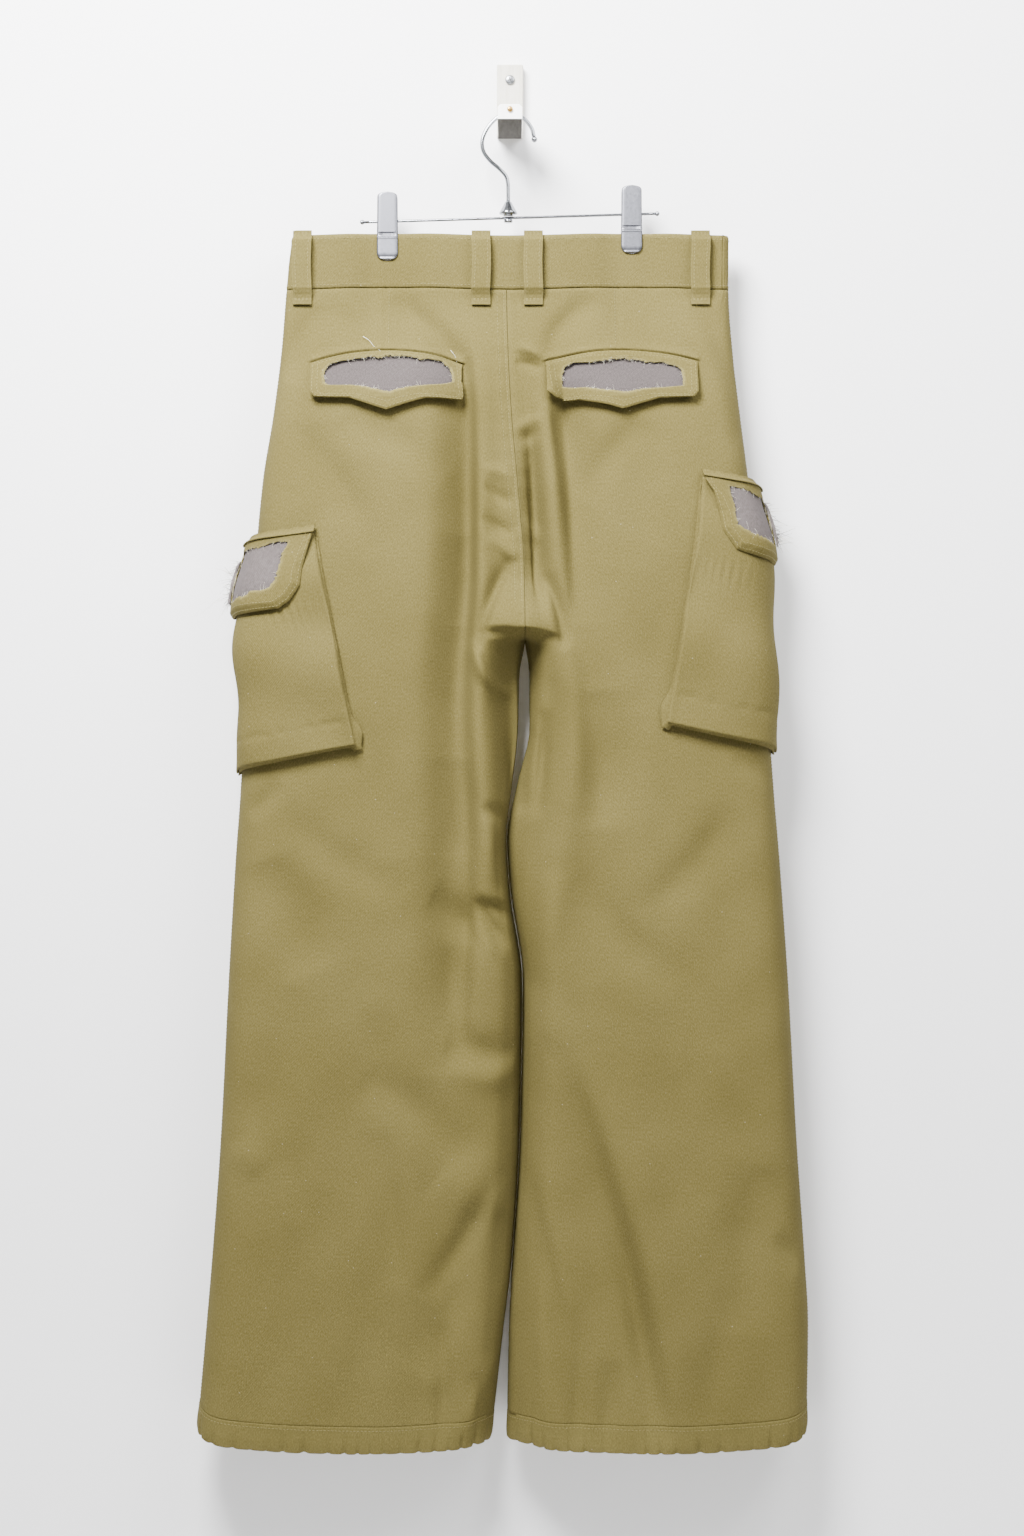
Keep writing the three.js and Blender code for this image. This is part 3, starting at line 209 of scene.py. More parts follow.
SMALL_FOLDS = (
    (4, -230, 32, -242, 2, -4, 5, 5),
    (4, -244, 30, -252, 1, 3.6, 4, 5),
    (4, -306, 30, -296, 2, -3.6, 6, 4),
    (6, -314, 28, -308, -2, 2.4, 4, 5),
    (-24, -340, 4, -352, 2, -3.4, 6, 4),
    (-24, -356, 4, -372, -2, 3.6, 4, 6),
    (-26, -384, 6, -400, -2, 4.0, 5, 6),
    (-20, -402, 6, -424, 2, -4.2, 6, 5),
    (12, -384, 26, -410, 2, -4.0, 4, 5),
    (-26, -642, 0, -660, 3, 6, 7, 5),
    (-32, -726, 6, -744, 3, 7, 8, 5),
    (-36, -744, -12, -776, 3, -4.1, 7, 8),
    (-56, -766, -52, -850, 3, 4.4, 11, 11),
    (-30, -1132, -16, -1196, 2, 5.1, 8, 6),
    (-14, -1120, -44, -1190, 2, -4.1, 9, 9),
    (-244, -940, -222, -968, 2, -3.4, 14, 16),
    (-120, -1040, -150, -1176, 5, 3.4, 18, 20),
    (-190, -1010, -216, -1176, 4, 3.7, 18, 18),
    (-150, -560, -110, -690, 6, 3.1, 22, 24),
    (-100, -330, -80, -470, 4, 2.7, 22, 20),
    (-170, -300, -150, -390, -4, 2.4, 18, 20),
    (120, -300, 96, -430, 5, 2.7, 22, 24),
    (150, -420, 120, -560, 5, 2.4, 22, 20),
    (60, -640, 78, -800, -6, 3.4, 20, 22),
    (176, -640, 190, -860, 5, 3.4, 22, 24),
    (134, -820, 164, -1000, -6, 3.1, 24, 24),
    (190, -1060, 172, -1180, 4, 3.7, 16, 18),
    (90, -1120, 84, -1196, 2, 4.1, 12, 12),
    (236, -1020, 256, -1052, 1, 3.7, 8, 9),
    (-202, -620, -236, -650, 3, 3.1, 9, 9),
    (196, -600, 232, -622, 3, 2.7, 9, 9),
    (-120, -820, -150, -980, 6, 3.1, 26, 24),
    (-196, -800, -226, -930, 5, 3.4, 20, 22),
    (-40, -240, -38, -480, 2, 8, 22, 9),
    (-38, -400, -40, -690, -2, 10, 26, 9),
    (-40, -600, -46, -880, 2, 14, 32, 9),
    (2, -420, -31, -506, -3, 9, 8, 4),
    (31, -434, 48, -504, 3, 9, 4, 8),
    (-28, -482, 50, -489, 3, -10, 4, 26),
    (-8, -494, 4, -650, 0, 22, 12, 14),
    (-33, -492, 0, -545, -8, -8, 6, 5),
    (30, -494, 22, -640, 0, -4, 5, 6),
    (22, -560, 14, -640, 1, -4, 5, 5),
    (31, -556, 24, -652, 1, 8, 6, 6),
    (-12, -716, 2, -760, 2, -5, 6, 6),
    (-34, -722, -6, -772, 3, 6, 7, 5),
    (-52, -864, 6, -882, -6, -6, 14, 12),
    (40, -700, 20, -800, 2, -5, 14, 16),
    (-10, -960, -76, -1070, 6, 7, 12, 10),
    (-20, -1010, -66, -1150, 6, -4, 12, 12),
    (-120, -930, -100, -1060, 4, 5, 14, 14),
    (12, -960, 60, -1190, 4, 5, 12, 9),
    (100, -990, 124, -1190, 4, 5, 12, 10),
    (60, -1080, 60, -1196, 2, 5, 8, 9),
    (-60, -1090, -62, -1196, 2, 5, 8, 9),
    (-210, -640, -90, -720, -8, 4, 16, 18),
    (200, -640, 110, -740, 8, 4, 16, 18),
    (-196, -300, -120, -420, 8, 4, 16, 14),
    (47, -262, 58, -480, 2, 9, 8, 22),
    (20, -316, 26, -436, 0, 8, 8, 6),
    (24, -272, 39, -470, 2, -5, 7, 9),
    (44, -850, 140, -1190, 6, 6, 12, 10),
    (-30, -300, -27, -480, 1, -2.4, 7, 7),
    (-150, -296, -60, -352, 8, 4.5, 16, 18),
    (-170, -186, -128, -226, 3, 1.6, 8, 8),
    (-86, -188, -60, -232, 2, -1.5, 7, 7),
    (168, -190, 214, -330, 6, 5, 11, 11),
    (120, -296, 66, -370, -6, 4.5, 13, 14),
    (-130, -880, -40, -960, 10, 5, 18, 20),
    (60, -700, 150, -800, -8, 4.5, 20, 20),
)

PINCH = {"near": 6.3, "far": 6.3, "flat": 11.0, "width": 18.0, "reach": 60.0}
WAIST_SAG = 2.6
SAG_SIDE = 85.0
# The large folds are crisper in the dressed cloth than in the plain solids
FOLD_GAIN = 1.6


def table(columns, rows):
    """A table's columns as arrays, ordered upwards by z."""
    data = np.array(rows, float)[::-1]
    return {key: data[:, i] for i, key in enumerate(columns)}


LEGS = {side: table(LEG_COLUMNS, rows) for side, rows in LEG_ROWS.items()}
DEPTH = table(DEPTH_COLUMNS, DEPTH_ROWS)
BACK_EDGE = table(EDGE_COLUMNS, BACK_EDGE_ROWS)
FRONT_EDGE = table(EDGE_COLUMNS, FRONT_EDGE_ROWS)


def smooth(t):
    """3t^2 - 2t^3 between 0 and 1, flat outside."""
    c = np.clip(t, 0.0, 1.0)
    return c * c * (3 - 2 * c)


def mix(a, b, t):
    """a + (b - a) t."""
    return a + (b - a) * t


def bell(t):
    """exp(-t^2)."""
    return np.exp(-t * t)


def at(tab, key, z):
    """A column at height z: a cubic between rows, with the harmonic mean of slopes at a row."""
    xs, ys = tab["z"], tab[key]
    slope = np.diff(ys) / np.diff(xs)
    product = slope[:-1] * slope[1:]
    total = slope[:-1] + slope[1:]
    inner = np.where(product > 0, 2 * product / np.where(total == 0, 1, total), 0)
    tangent = np.concatenate([slope[:1], inner, slope[-1:]])
    zc = np.clip(z, xs[0], xs[-1])
    i = np.clip(np.searchsorted(xs, zc, side="right") - 1, 0, len(xs) - 2)
    span = xs[i + 1] - xs[i]
    t = (zc - xs[i]) / span
    t2, t3 = t * t, t * t * t
    return (ys[i] * (2 * t3 - 3 * t2 + 1) + tangent[i] * span * (t3 - 2 * t2 + t)
            + ys[i + 1] * (3 * t2 - 2 * t3) + tangent[i + 1] * span * (t3 - t2))


def through(points, s, before):
    """The curve through control points (K, ..., 3) at s: cubics between each two."""
    last = len(points) - 1
    whole = np.concatenate([before[None], points, (2 * points[last] - points[last - 1])[None]])
    i = np.clip(np.floor(s).astype(int), 0, last - 1)
    t = (s - i)[..., None]
    pick = [np.take_along_axis(whole, (i + k)[None, ..., None], 0)[0] for k in range(4)]
    m1 = (pick[2] - pick[0]) / 2
    m2 = (pick[3] - pick[1]) / 2
    d = pick[2] - pick[1]
    return pick[1] + m1 * t + (3 * d - 2 * m1 - m2) * t ** 2 + (m1 + m2 - 2 * d) * t ** 3


def pinch(x, z):
    """How strongly the clips press the waist: flat under each clip, then a bell, fading below the band."""
    below = np.maximum(0, WAIST_SEAM - z) / PINCH["reach"]
    beside = [bell(np.maximum(0, np.abs(x - clip) - PINCH["flat"]) / PINCH["width"]) for clip in CLIP_X]
    return bell(below) * np.maximum(*beside)


def waist_sag(x, z):
    """How far the waist drops: a squared sine between the clips and a soft step beside them."""
    a, b = CLIP_X
    between = np.sin(math.pi * (x - a) / (b - a)) ** 2
    beside = smooth(np.where(x < a, a - x, x - b) / SAG_SIDE)
    share = np.where((x > a) & (x < b), between, beside)
    return -WAIST_SAG * share * bell(np.maximum(0, WAIST_SEAM - z) / PINCH["reach"])


def fold_depth(x, z, folds):
    """The sum of folds: along each line a sine to 0.8, across it a bell with its own width to each side."""
    total = np.zeros(np.broadcast(x, z).shape)
    for x0, z0, x1, z1, bow, depth, left, right in folds:
        dx, dz = x1 - x0, z1 - z0
        length = math.hypot(dx, dz)
        t = ((x - x0) * dx + (z - z0) * dz) / length ** 2
        inside = (t > 0) & (t < 1)
        c = np.clip(t, 0, 1)
        across = (-(x - x0) * dz + (z - z0) * dx) / length - bow * 4 * c * (1 - c)
        width = np.where(across > 0, right, left)
        total += np.where(inside, depth * np.sin(math.pi * c) ** 0.8 * bell(across / width), 0)
    return total


def undulation(x, z):
    """A slow unevenness of the cloth: three crossed sine waves of unlike length."""
    return (0.45 * np.sin(x / 17 + 0.9 * np.sin(z / 61)) * np.sin(z / 43 + 1.3)
            + 0.3 * np.sin((x + 0.7 * z) / 23 + 2.1) + 0.22 * np.sin((1.2 * x - z) / 14 + 0.4))


def row_points(side, z):
    """The control points of rows at heights z, from the side seam inwards, on the back and on the front."""
    tab = LEGS[side]
    s = SIGN[side]
    outer, inner = at(tab, "outer", z), at(tab, "inner", z)
    seam, back, front, rnd = (at(DEPTH, key, z) for key in ("side", "back", "front", "round"))
    edge_y, edge_z, turn = (at(BACK_EDGE, key, z) for key in ("y", "height", "turn"))
    valley, valley_y, ridge, ridge_y, hollow, hollow_y = (
        at(tab, key, z) for key in ("valley", "valley_y", "ridge", "ridge_y", "hollow", "hollow_y"))
    slope_x = valley - s * SLOPE_INTO_VALLEY
    plateau_x = outer + s * 1.2 * rnd
    last_x = mix(mix(hollow, inner, 0.5), mix(hollow, inner, 0.78), turn)
    last_y = mix(mix(hollow_y, edge_y, 0.5), mix(hollow_y, edge_y, 0.55), turn)
    back_points = np.array([np.stack(p, -1) for p in (
        (outer, seam, z),
        (outer + s * 0.12 * rnd, mix(seam, back, 0.6), z),
        (outer + s * 0.45 * rnd, mix(seam, back, 0.9), z),
        (plateau_x, back, z),
        (mix(plateau_x, slope_x, 0.5), back, z),
        (slope_x, back, z),
        (valley, valley_y, z),
        (ridge, ridge_y, z),
        (hollow, hollow_y, mix(z, edge_z, 0.55)),
        (last_x, last_y, mix(z, edge_z, 0.88)),
        (inner, edge_y, edge_z),
    )])
    above = z > CROTCH_ROW
    front_y = np.where(above, at(FRONT_EDGE, "y", z), edge_y)
    front_z = np.where(above, at(FRONT_EDGE, "height", z), edge_z)
    front_turn = np.where(above, at(FRONT_EDGE, "turn", z), 1.0)
    corner_y = mix(mix(front, front_y, 0.7), mix(front, front_y, 0.28), front_turn)
    front_points = np.array([np.stack(p, -1) for p in (
        (outer, seam, z),
        (outer + s * 0.12 * rnd, mix(seam, front, 0.6), z),
        (outer + s * 0.45 * rnd, mix(seam, front, 0.9), z),
        (plateau_x, front, z),
        (mix(plateau_x, inner, 0.55), front, z),
        (inner - s * FRONT_CORNER, front, mix(z, front_z, 0.3)),
        (inner - s * FRONT_CORNER * 0.3, corner_y, mix(z, front_z, 0.8)),
        (inner, front_y, front_z),
    )])
    return back_points, front_points


def leg(side, s, z, fine=True):
    """Points of the cloth (..., 3): rows of control points joined by cubics, with the folds pressed in
    towards the wall, the clips' pinch and the drop of waist and hem."""
    s, z = np.broadcast_arrays(np.asarray(s, float), np.asarray(z, float))
    back_points, front_points = row_points(side, z)
    on_back = s >= 0
    back = through(back_points, np.maximum(s, 0), front_points[1])
    front = through(front_points, np.maximum(-s, 0), back_points[1])
    point = np.where(on_back[..., None], back, front)
    x, y, height = point[..., 0], point[..., 1], point[..., 2]
    inside = smooth((BACK_END - s) / 1.5)
    fold = fold_depth(x, height, LARGE_FOLDS) * inside
    if fine:
        free = np.maximum(smooth((WAIST_SEAM - height) / 60), 0.5 * (1 - pinch(x, height)))
        to_seam = np.maximum(inside, smooth((z - CROTCH_ROW) / 20))
        fold = FOLD_GAIN * fold + (fold_depth(x, height, SMALL_FOLDS)
                                   + undulation(x, height) * free) * to_seam
        wave = undulation(x * 1.3 + 40, height + 90) * smooth(-s / 1.5) * smooth((FRONT_END + s) / 1.5)
        y = y - 1.4 * wave * smooth((WAIST_SEAM - height) / 60)
    y = y + np.where(on_back, fold * smooth(s / 1.5), 0)
    y = y + pinch(x, height) * np.where(on_back, PINCH["near"], -PINCH["far"]) * smooth(np.abs(s) / 2)
    across = np.abs(s) / np.where(on_back, BACK_END, FRONT_END)
    drop = HEM_DROP * np.sin(math.pi * np.minimum(0.78, across)) ** 0.8
    hem = smooth((HEM_DROP_FROM - z) / (HEM_DROP_FROM - HEM_EDGE))
    return np.stack([x, y, height + waist_sag(x, height) - drop * hem], -1)


ROW_STEP = 4.0
ROW_HEIGHTS = np.arange(WAIST_TOP + ROW_STEP, HEM_EDGE - 2 * ROW_STEP, -ROW_STEP)
ROW_STOPS = np.linspace(-FRONT_END, BACK_END, 341)
FIRST_BACK = 140


def sampled_rows(side):
    """Each leg's rows finely sampled: how far round the leg each stop lies from the side seam, and its x,
    each made to grow along the row."""
    p = leg(side, ROW_STOPS[None, :], ROW_HEIGHTS[:, None], fine=False)
    length = np.linalg.norm(np.diff(p, axis=1), axis=-1)
    w = np.concatenate([np.zeros((len(p), 1)), np.cumsum(length, 1)], 1)
    w -= w[:, FIRST_BACK][:, None]
    x = p[..., 0] * SIGN[side]
    back = np.maximum.accumulate(x[:, FIRST_BACK:] + 1e-5 * ROW_STOPS[FIRST_BACK:], axis=1)
    front = np.maximum.accumulate(x[:, FIRST_BACK::-1] - 1e-5 * ROW_STOPS[FIRST_BACK::-1], axis=1)
    return {"w": w, "back": back, "front": front}


def find(values, stops, value, z):
    """The stop where a row's growing values reach a value, on the two nearest rows, mixed by height."""
    rows, count = values.shape
    value, z = np.broadcast_arrays(np.asarray(value, float), np.asarray(z, float))
    f = np.clip((ROW_HEIGHTS[0] - z) / ROW_STEP, 0, rows - 1.001)
    level = f.astype(int)
    low = values.min()
    span = values.max() - low + 1
    flat = (values - low + np.arange(rows)[:, None] * span).ravel()

    def on(row):
        v = np.clip(value, values[row, 0], values[row, -1]) - low + row * span
        j = np.clip(np.searchsorted(flat, v), row * count + 1, row * count + count - 1)
        a, b = flat[j - 1], flat[j]
        k = j - row * count
        return stops[k - 1] + (v - a) / np.maximum(b - a, 1e-9) * (stops[k] - stops[k - 1])
    return mix(on(level), on(level + 1), f - level)


ROWS = {side: sampled_rows(side) for side in SIDES}


def around_leg(side, w, z):
    """The stop that lies w round the leg from the side seam, negative to the front."""
    return find(ROWS[side]["w"], ROW_STOPS, w, z)


def on_back(side, x, z):
    """The stop on the back at x."""
    return find(ROWS[side]["back"], ROW_STOPS[FIRST_BACK:], x * SIGN[side], z)


def on_front(side, x, z):
    """The stop on the front at x."""
    return find(ROWS[side]["front"], ROW_STOPS[FIRST_BACK::-1], x * SIGN[side], z)


def width_at(side, s, z):
    """How far round the leg a stop lies: the sampled rows read linearly."""
    s, z = np.broadcast_arrays(np.asarray(s, float), np.asarray(z, float))
    w = ROWS[side]["w"]
    i = np.clip((ROW_HEIGHTS[0] - z) / ROW_STEP, 0, len(w) - 1.001)
    j = np.clip((s - ROW_STOPS[0]) / (ROW_STOPS[1] - ROW_STOPS[0]), 0, len(ROW_STOPS) - 1.001)
    i0, j0 = i.astype(int), j.astype(int)
    top = mix(w[i0, j0], w[i0, j0 + 1], j - j0)
    return mix(top, mix(w[i0 + 1, j0], w[i0 + 1, j0 + 1], j - j0), i - i0)


def inward(side, s, z, fine=True):
    """The unit way into the leg: the cross product of small steps along the row and down the leg."""
    s, z = np.broadcast_arrays(np.asarray(s, float), np.asarray(z, float))
    low, high = np.where(s >= 0, 0.0, -FRONT_END), np.where(s >= 0, BACK_END, -1e-4)
    a = leg(side, np.maximum(low, s - 0.05), z, fine)
    b = leg(side, np.minimum(high, s + 0.05), z, fine)
    c = leg(side, s, np.minimum(WAIST_TOP, z + 2), fine)
    d = leg(side, s, z - 2, fine)
    n = np.cross(b - a, d - c)
    n /= np.linalg.norm(n, axis=-1, keepdims=True)
    return n * SIGN[side]


def off(side, s, z, lift, fine=True):
    """Points of the leg's cloth moved out of it by lift."""
    way = inward(side, s, z, fine)
    return leg(side, s, z, fine) - way * np.asarray(lift, float)[..., None]


def noise(*coords, seed=0):
    """Smooth unevenness from -1 to 1: eight sine waves in random ways, of random length and phase."""
    rng = np.random.default_rng(seed)
    total = 0
    for _ in range(8):
        way = rng.normal(size=len(coords))
        way /= np.linalg.norm(way)
        total = total + np.sin(sum(c * k for c, k in zip(coords, way)) * rng.uniform(0.7, 1.9)
                               + rng.uniform(0, 6.28))
    return total / 8 ** 0.5 / 1.4


# Meshes
def linear(hex_colour):
    """An sRGB hex colour as linear RGBA: c/12.92 up to 0.04045, ((c + 0.055)/1.055)^2.4 above."""
    c = np.array([int(hex_colour[i:i + 2], 16) / 255 for i in (1, 3, 5)])
    value = np.where(c <= 0.04045, c / 12.92, ((c + 0.055) / 1.055) ** 2.4)
    return (*(float(v) for v in value), 1.0)


def new_piece(name, points, quads, slot, finish, nodes=(), uv=None, wear=None, smooth_faces=True):
    """A mesh object from points in mm and quads or triangles, with its UV in mm and its wear."""
    mesh = bpy.data.meshes.new(name)
    mesh.from_pydata((np.asarray(points) * MM).tolist(), [], [tuple(q) for q in quads])
    mesh.polygons.foreach_set("use_smooth", np.full(len(mesh.polygons), smooth_faces))
    if uv is not None:
        layer = mesh.uv_layers.new(name="cut_mm")
        index = np.empty(len(mesh.loops), int)
        mesh.loops.foreach_get("vertex_index", index)
        layer.data.foreach_set("uv", (np.asarray(uv)[index] * MM).ravel())
    if wear is not None:
        mesh.attributes.new("wear", "FLOAT", "POINT").data.foreach_set("value",
                                                                       np.asarray(wear, float).ravel())
    mesh.validate()
    mesh.update()
    piece = bpy.data.objects.new(name, mesh)
    bpy.context.scene.collection.objects.link(piece)
    mesh.materials.append(material(finish))
    if nodes:
        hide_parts(*nodes)
    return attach(piece, BODY)


def grid_faces(rows, cols, ring=False):
    """The quads of a grid, row by row; a ring's last column joins its first."""
    r, c = np.meshgrid(np.arange(rows - 1), np.arange(cols if ring else cols - 1), indexing="ij")
    nxt = (c + 1) % cols
    return np.stack([r * cols + c, (r + 1) * cols + c, (r + 1) * cols + nxt, r * cols + nxt],
                    -1).reshape(-1, 4)


def shell(outer, inner, ring=False):
    """A closed body between two like grids: both skins, and rims along each edge that only one face uses.
    Returns its points, its faces with the rims last, which of the grids' points it uses, and how many rims
    there are."""
    rows, cols = outer.shape[:2]
    count = rows * cols
    quads = grid_faces(rows, cols, ring)
    edges = np.concatenate([quads[:, [i, (i + 1) % 4]] for i in range(4)])
    key = edges[:, 0].astype(np.int64) * count + edges[:, 1]
    back = edges[:, 1].astype(np.int64) * count + edges[:, 0]
    rim = edges[~np.isin(back, key)]
    rims = np.stack([rim[:, 1], rim[:, 0], rim[:, 0] + count, rim[:, 1] + count], -1)
    faces = np.concatenate([quads, (quads + count)[:, ::-1], rims])
    points = np.concatenate([outer.reshape(-1, 3), inner.reshape(-1, 3)])
    used = np.unique(faces)
    number = np.full(2 * count, -1)
    number[used] = np.arange(len(used))
    faces, points = number[faces], points[used]
    a, b, c, d = (points[faces[:, i]] for i in range(4))
    volume = np.einsum("ij,ij->i", a, np.cross(b, c)).sum() + np.einsum("ij,ij->i", a, np.cross(c, d)).sum()
    return points, faces[:, ::-1] if volume < 0 else faces, used, len(rims)


CLOTH_SLOTS = {"washed_twill": "khaki_cotton", "brushed_lining": "grey_lining"}


def cloth_piece(name, node, outer, inner, cut, wear, finish="washed_twill", ring=False):
    """A cloth body from two like grids, which stands for a node, with the cut's coordinates (..., 2) in mm
    and its wear on both skins. Its rims are flat, so that the skins keep their own shading up to the edge."""
    points, faces, used, rims = shell(outer, inner, ring)
    doubled = np.concatenate([np.reshape(cut, (-1, 2))] * 2)[used]
    worn = np.concatenate([np.ravel(wear)] * 2)[used]
    piece = new_piece(name, points, faces, CLOTH_SLOTS[finish], finish, [node], doubled, worn)
    smooth_faces = np.arange(len(piece.data.polygons)) < len(faces) - rims
    piece.data.polygons.foreach_set("use_smooth", smooth_faces)
    return piece


def stitches(name, runs, length, gap=1.0, thick=0.55):
    """Seams of stitches: runs are (points, ways out) along a line, cut at equal steps, and each stitch is a
    thread with six sides and three rings, pinched at both ends."""
    bodies, faces, count = [], [], 0
    angle = np.arange(6) * math.pi / 3
    for line, out in runs:
        step = np.linalg.norm(np.diff(line, axis=0), axis=1)
        w = np.concatenate([[0], np.cumsum(step)])
        starts = np.arange(0.4, w[-1] - length, length + gap)
        if not len(starts):
            continue
        t = starts[:, None] + length * np.array([0, 0.5, 1])
        centre = np.stack([np.interp(t, w, line[:, i]) for i in range(3)], -1)
        up = np.stack([np.interp(t, w, out[:, i]) for i in range(3)], -1)
        ahead = centre[:, 2:] - centre[:, :1]
        ahead /= np.linalg.norm(ahead, axis=-1, keepdims=True)
        aside = np.cross(ahead, up)
        aside /= np.maximum(np.linalg.norm(aside, axis=-1, keepdims=True), 1e-9)
        width = thick / 2 * np.array([0.35, 1, 0.35])[None, :, None, None]
        sink = np.array([-0.1, 0.12, -0.1])[None, :, None, None]
        ring = (aside[:, :, None] * np.cos(angle)[None, None, :, None]
                + up[:, :, None] * np.sin(angle)[None, None, :, None] * 0.7)
        body = centre[:, :, None] + ring * width + up[:, :, None] * sink
        bodies.append(body.reshape(-1, 3))
        one = grid_faces(3, 6, ring=True)
        base = count + 18 * np.arange(len(starts))[:, None, None]
        faces += (base + one[None]).reshape(-1, 4).tolist()
        ends = np.array([[5, 4, 3, 2, 1, 0], [12, 13, 14, 15, 16, 17]])
        faces += (base + ends[None]).reshape(-1, 6).tolist()
        count += 18 * len(starts)
    new_piece(name, np.concatenate(bodies), faces, "khaki_cotton", "tan_thread")


def tube(path, radius, sides=12):
    """A round wire along a path: rings turned with the path by carrying one side vector along it."""
    path = np.asarray(path, float)
    radius = np.broadcast_to(radius, len(path))
    ahead = np.gradient(path, axis=0)
    ahead /= np.linalg.norm(ahead, axis=1, keepdims=True)
    side = np.zeros_like(path)
    first = np.cross(ahead[0], [0, 1, 0.01])
    side[0] = first / np.linalg.norm(first)
    for i in range(1, len(path)):
        turned = side[i - 1] - ahead[i] * np.dot(side[i - 1], ahead[i])
        side[i] = turned / np.linalg.norm(turned)
    up = np.cross(ahead, side)
    angle = 2 * math.pi * np.arange(sides) / sides
    ring = side[:, None] * np.cos(angle)[:, None] + up[:, None] * np.sin(angle)[:, None]
    points = path[:, None] + ring * radius[:, None, None]
    faces = grid_faces(len(path), sides, ring=True)[:, ::-1].tolist()
    last = (len(path) - 1) * sides
    faces += [list(range(sides))[::-1], [last + i for i in range(sides)]]
    return points.reshape(-1, 3), faces


def lathe(profile, centre, axis, sides=40):
    """A turned body: the profile (radius, along) spun round an axis through centre, with its poles closed."""
    profile = np.asarray(profile, float)
    axis = np.asarray(axis, float)
    across = np.cross(axis, [0.3, 0.5, 0.8])
    across /= np.linalg.norm(across)
    third = np.cross(axis, across)
    angle = 2 * math.pi * np.arange(sides) / sides
    ring = across * np.cos(angle)[:, None] + third * np.sin(angle)[:, None]
    inner = profile[1:-1]
    body = np.asarray(centre, float) + ring[None] * inner[:, None, :1] + axis * inner[:, None, 1:]
    poles = np.asarray(centre, float) + axis * profile[[0, -1], 1][:, None]
    points = np.concatenate([body.reshape(-1, 3), poles])
    faces = grid_faces(len(inner), sides, ring=True).tolist()
    first, last = len(points) - 2, len(points) - 1
    end = (len(inner) - 1) * sides
    k = np.arange(sides)
    faces += np.stack([np.full(sides, first), k, (k + 1) % sides], -1).tolist()
    faces += np.stack([np.full(sides, last), end + (k + 1) % sides, end + k], -1).tolist()
    signed = sum(np.dot(points[f[0]], np.cross(points[f[1]], points[f[2]]))
                 + (np.dot(points[f[0]], np.cross(points[f[2]], points[f[3]])) if len(f) == 4 else 0)
                 for f in faces)
    return points, [f[::-1] for f in faces] if signed < 0 else faces


# Materials
def plug(tree, node, inputs):
    """Sets a node's inputs, by socket name or number, to values or to links from (node, socket)."""
    for key, value in inputs.items():
        if isinstance(value, tuple) and isinstance(value[0], bpy.types.Node):
            tree.links.new(value[0].outputs[value[1]], node.inputs[key])
        else:
            node.inputs[key].default_value = value


def add(tree, kind, inputs=None, **settings):
    """One shader node with its inputs and settings."""
    made = tree.nodes.new("ShaderNode" + kind)
    for key, value in settings.items():
        setattr(made, key, value)
    plug(tree, made, inputs or {})
    return made


def noise_node(tree, source, scale, detail):
    """A noise texture of the place that source gives."""
    return add(tree, "TexNoise", {"Vector": source, "Scale": scale, "Detail": detail})


def sum_node(tree, source, factor, plus):
    """source x factor + plus."""
    return add(tree, "Math", {0: source, 1: factor, 2: plus}, operation="MULTIPLY_ADD")


def new_material(name, shading=()):
    """A node material with its tree and its principled shader, whose inputs shading sets."""
    made = bpy.data.materials.new(name)
    made.use_nodes = True
    shader = made.node_tree.nodes["Principled BSDF"]
    plug(made.node_tree, shader, dict(shading))
    return made, made.node_tree, shader


def ramp(tree, source, low, high, colours):
    """A colour ramp between two positions of a factor, with the same number of steps as colours."""
    made = add(tree, "ValToRGB", {"Fac": source})
    elements = made.color_ramp.elements
    elements[0].position, elements[1].position = low, high
    elements[0].color, elements[1].color = linear(colours[0]), linear(colours[-1])
    for i, colour in enumerate(colours[1:-1], 1):
        elements.new(low + (high - low) * i / (len(colours) - 1)).color = linear(colour)
    return made


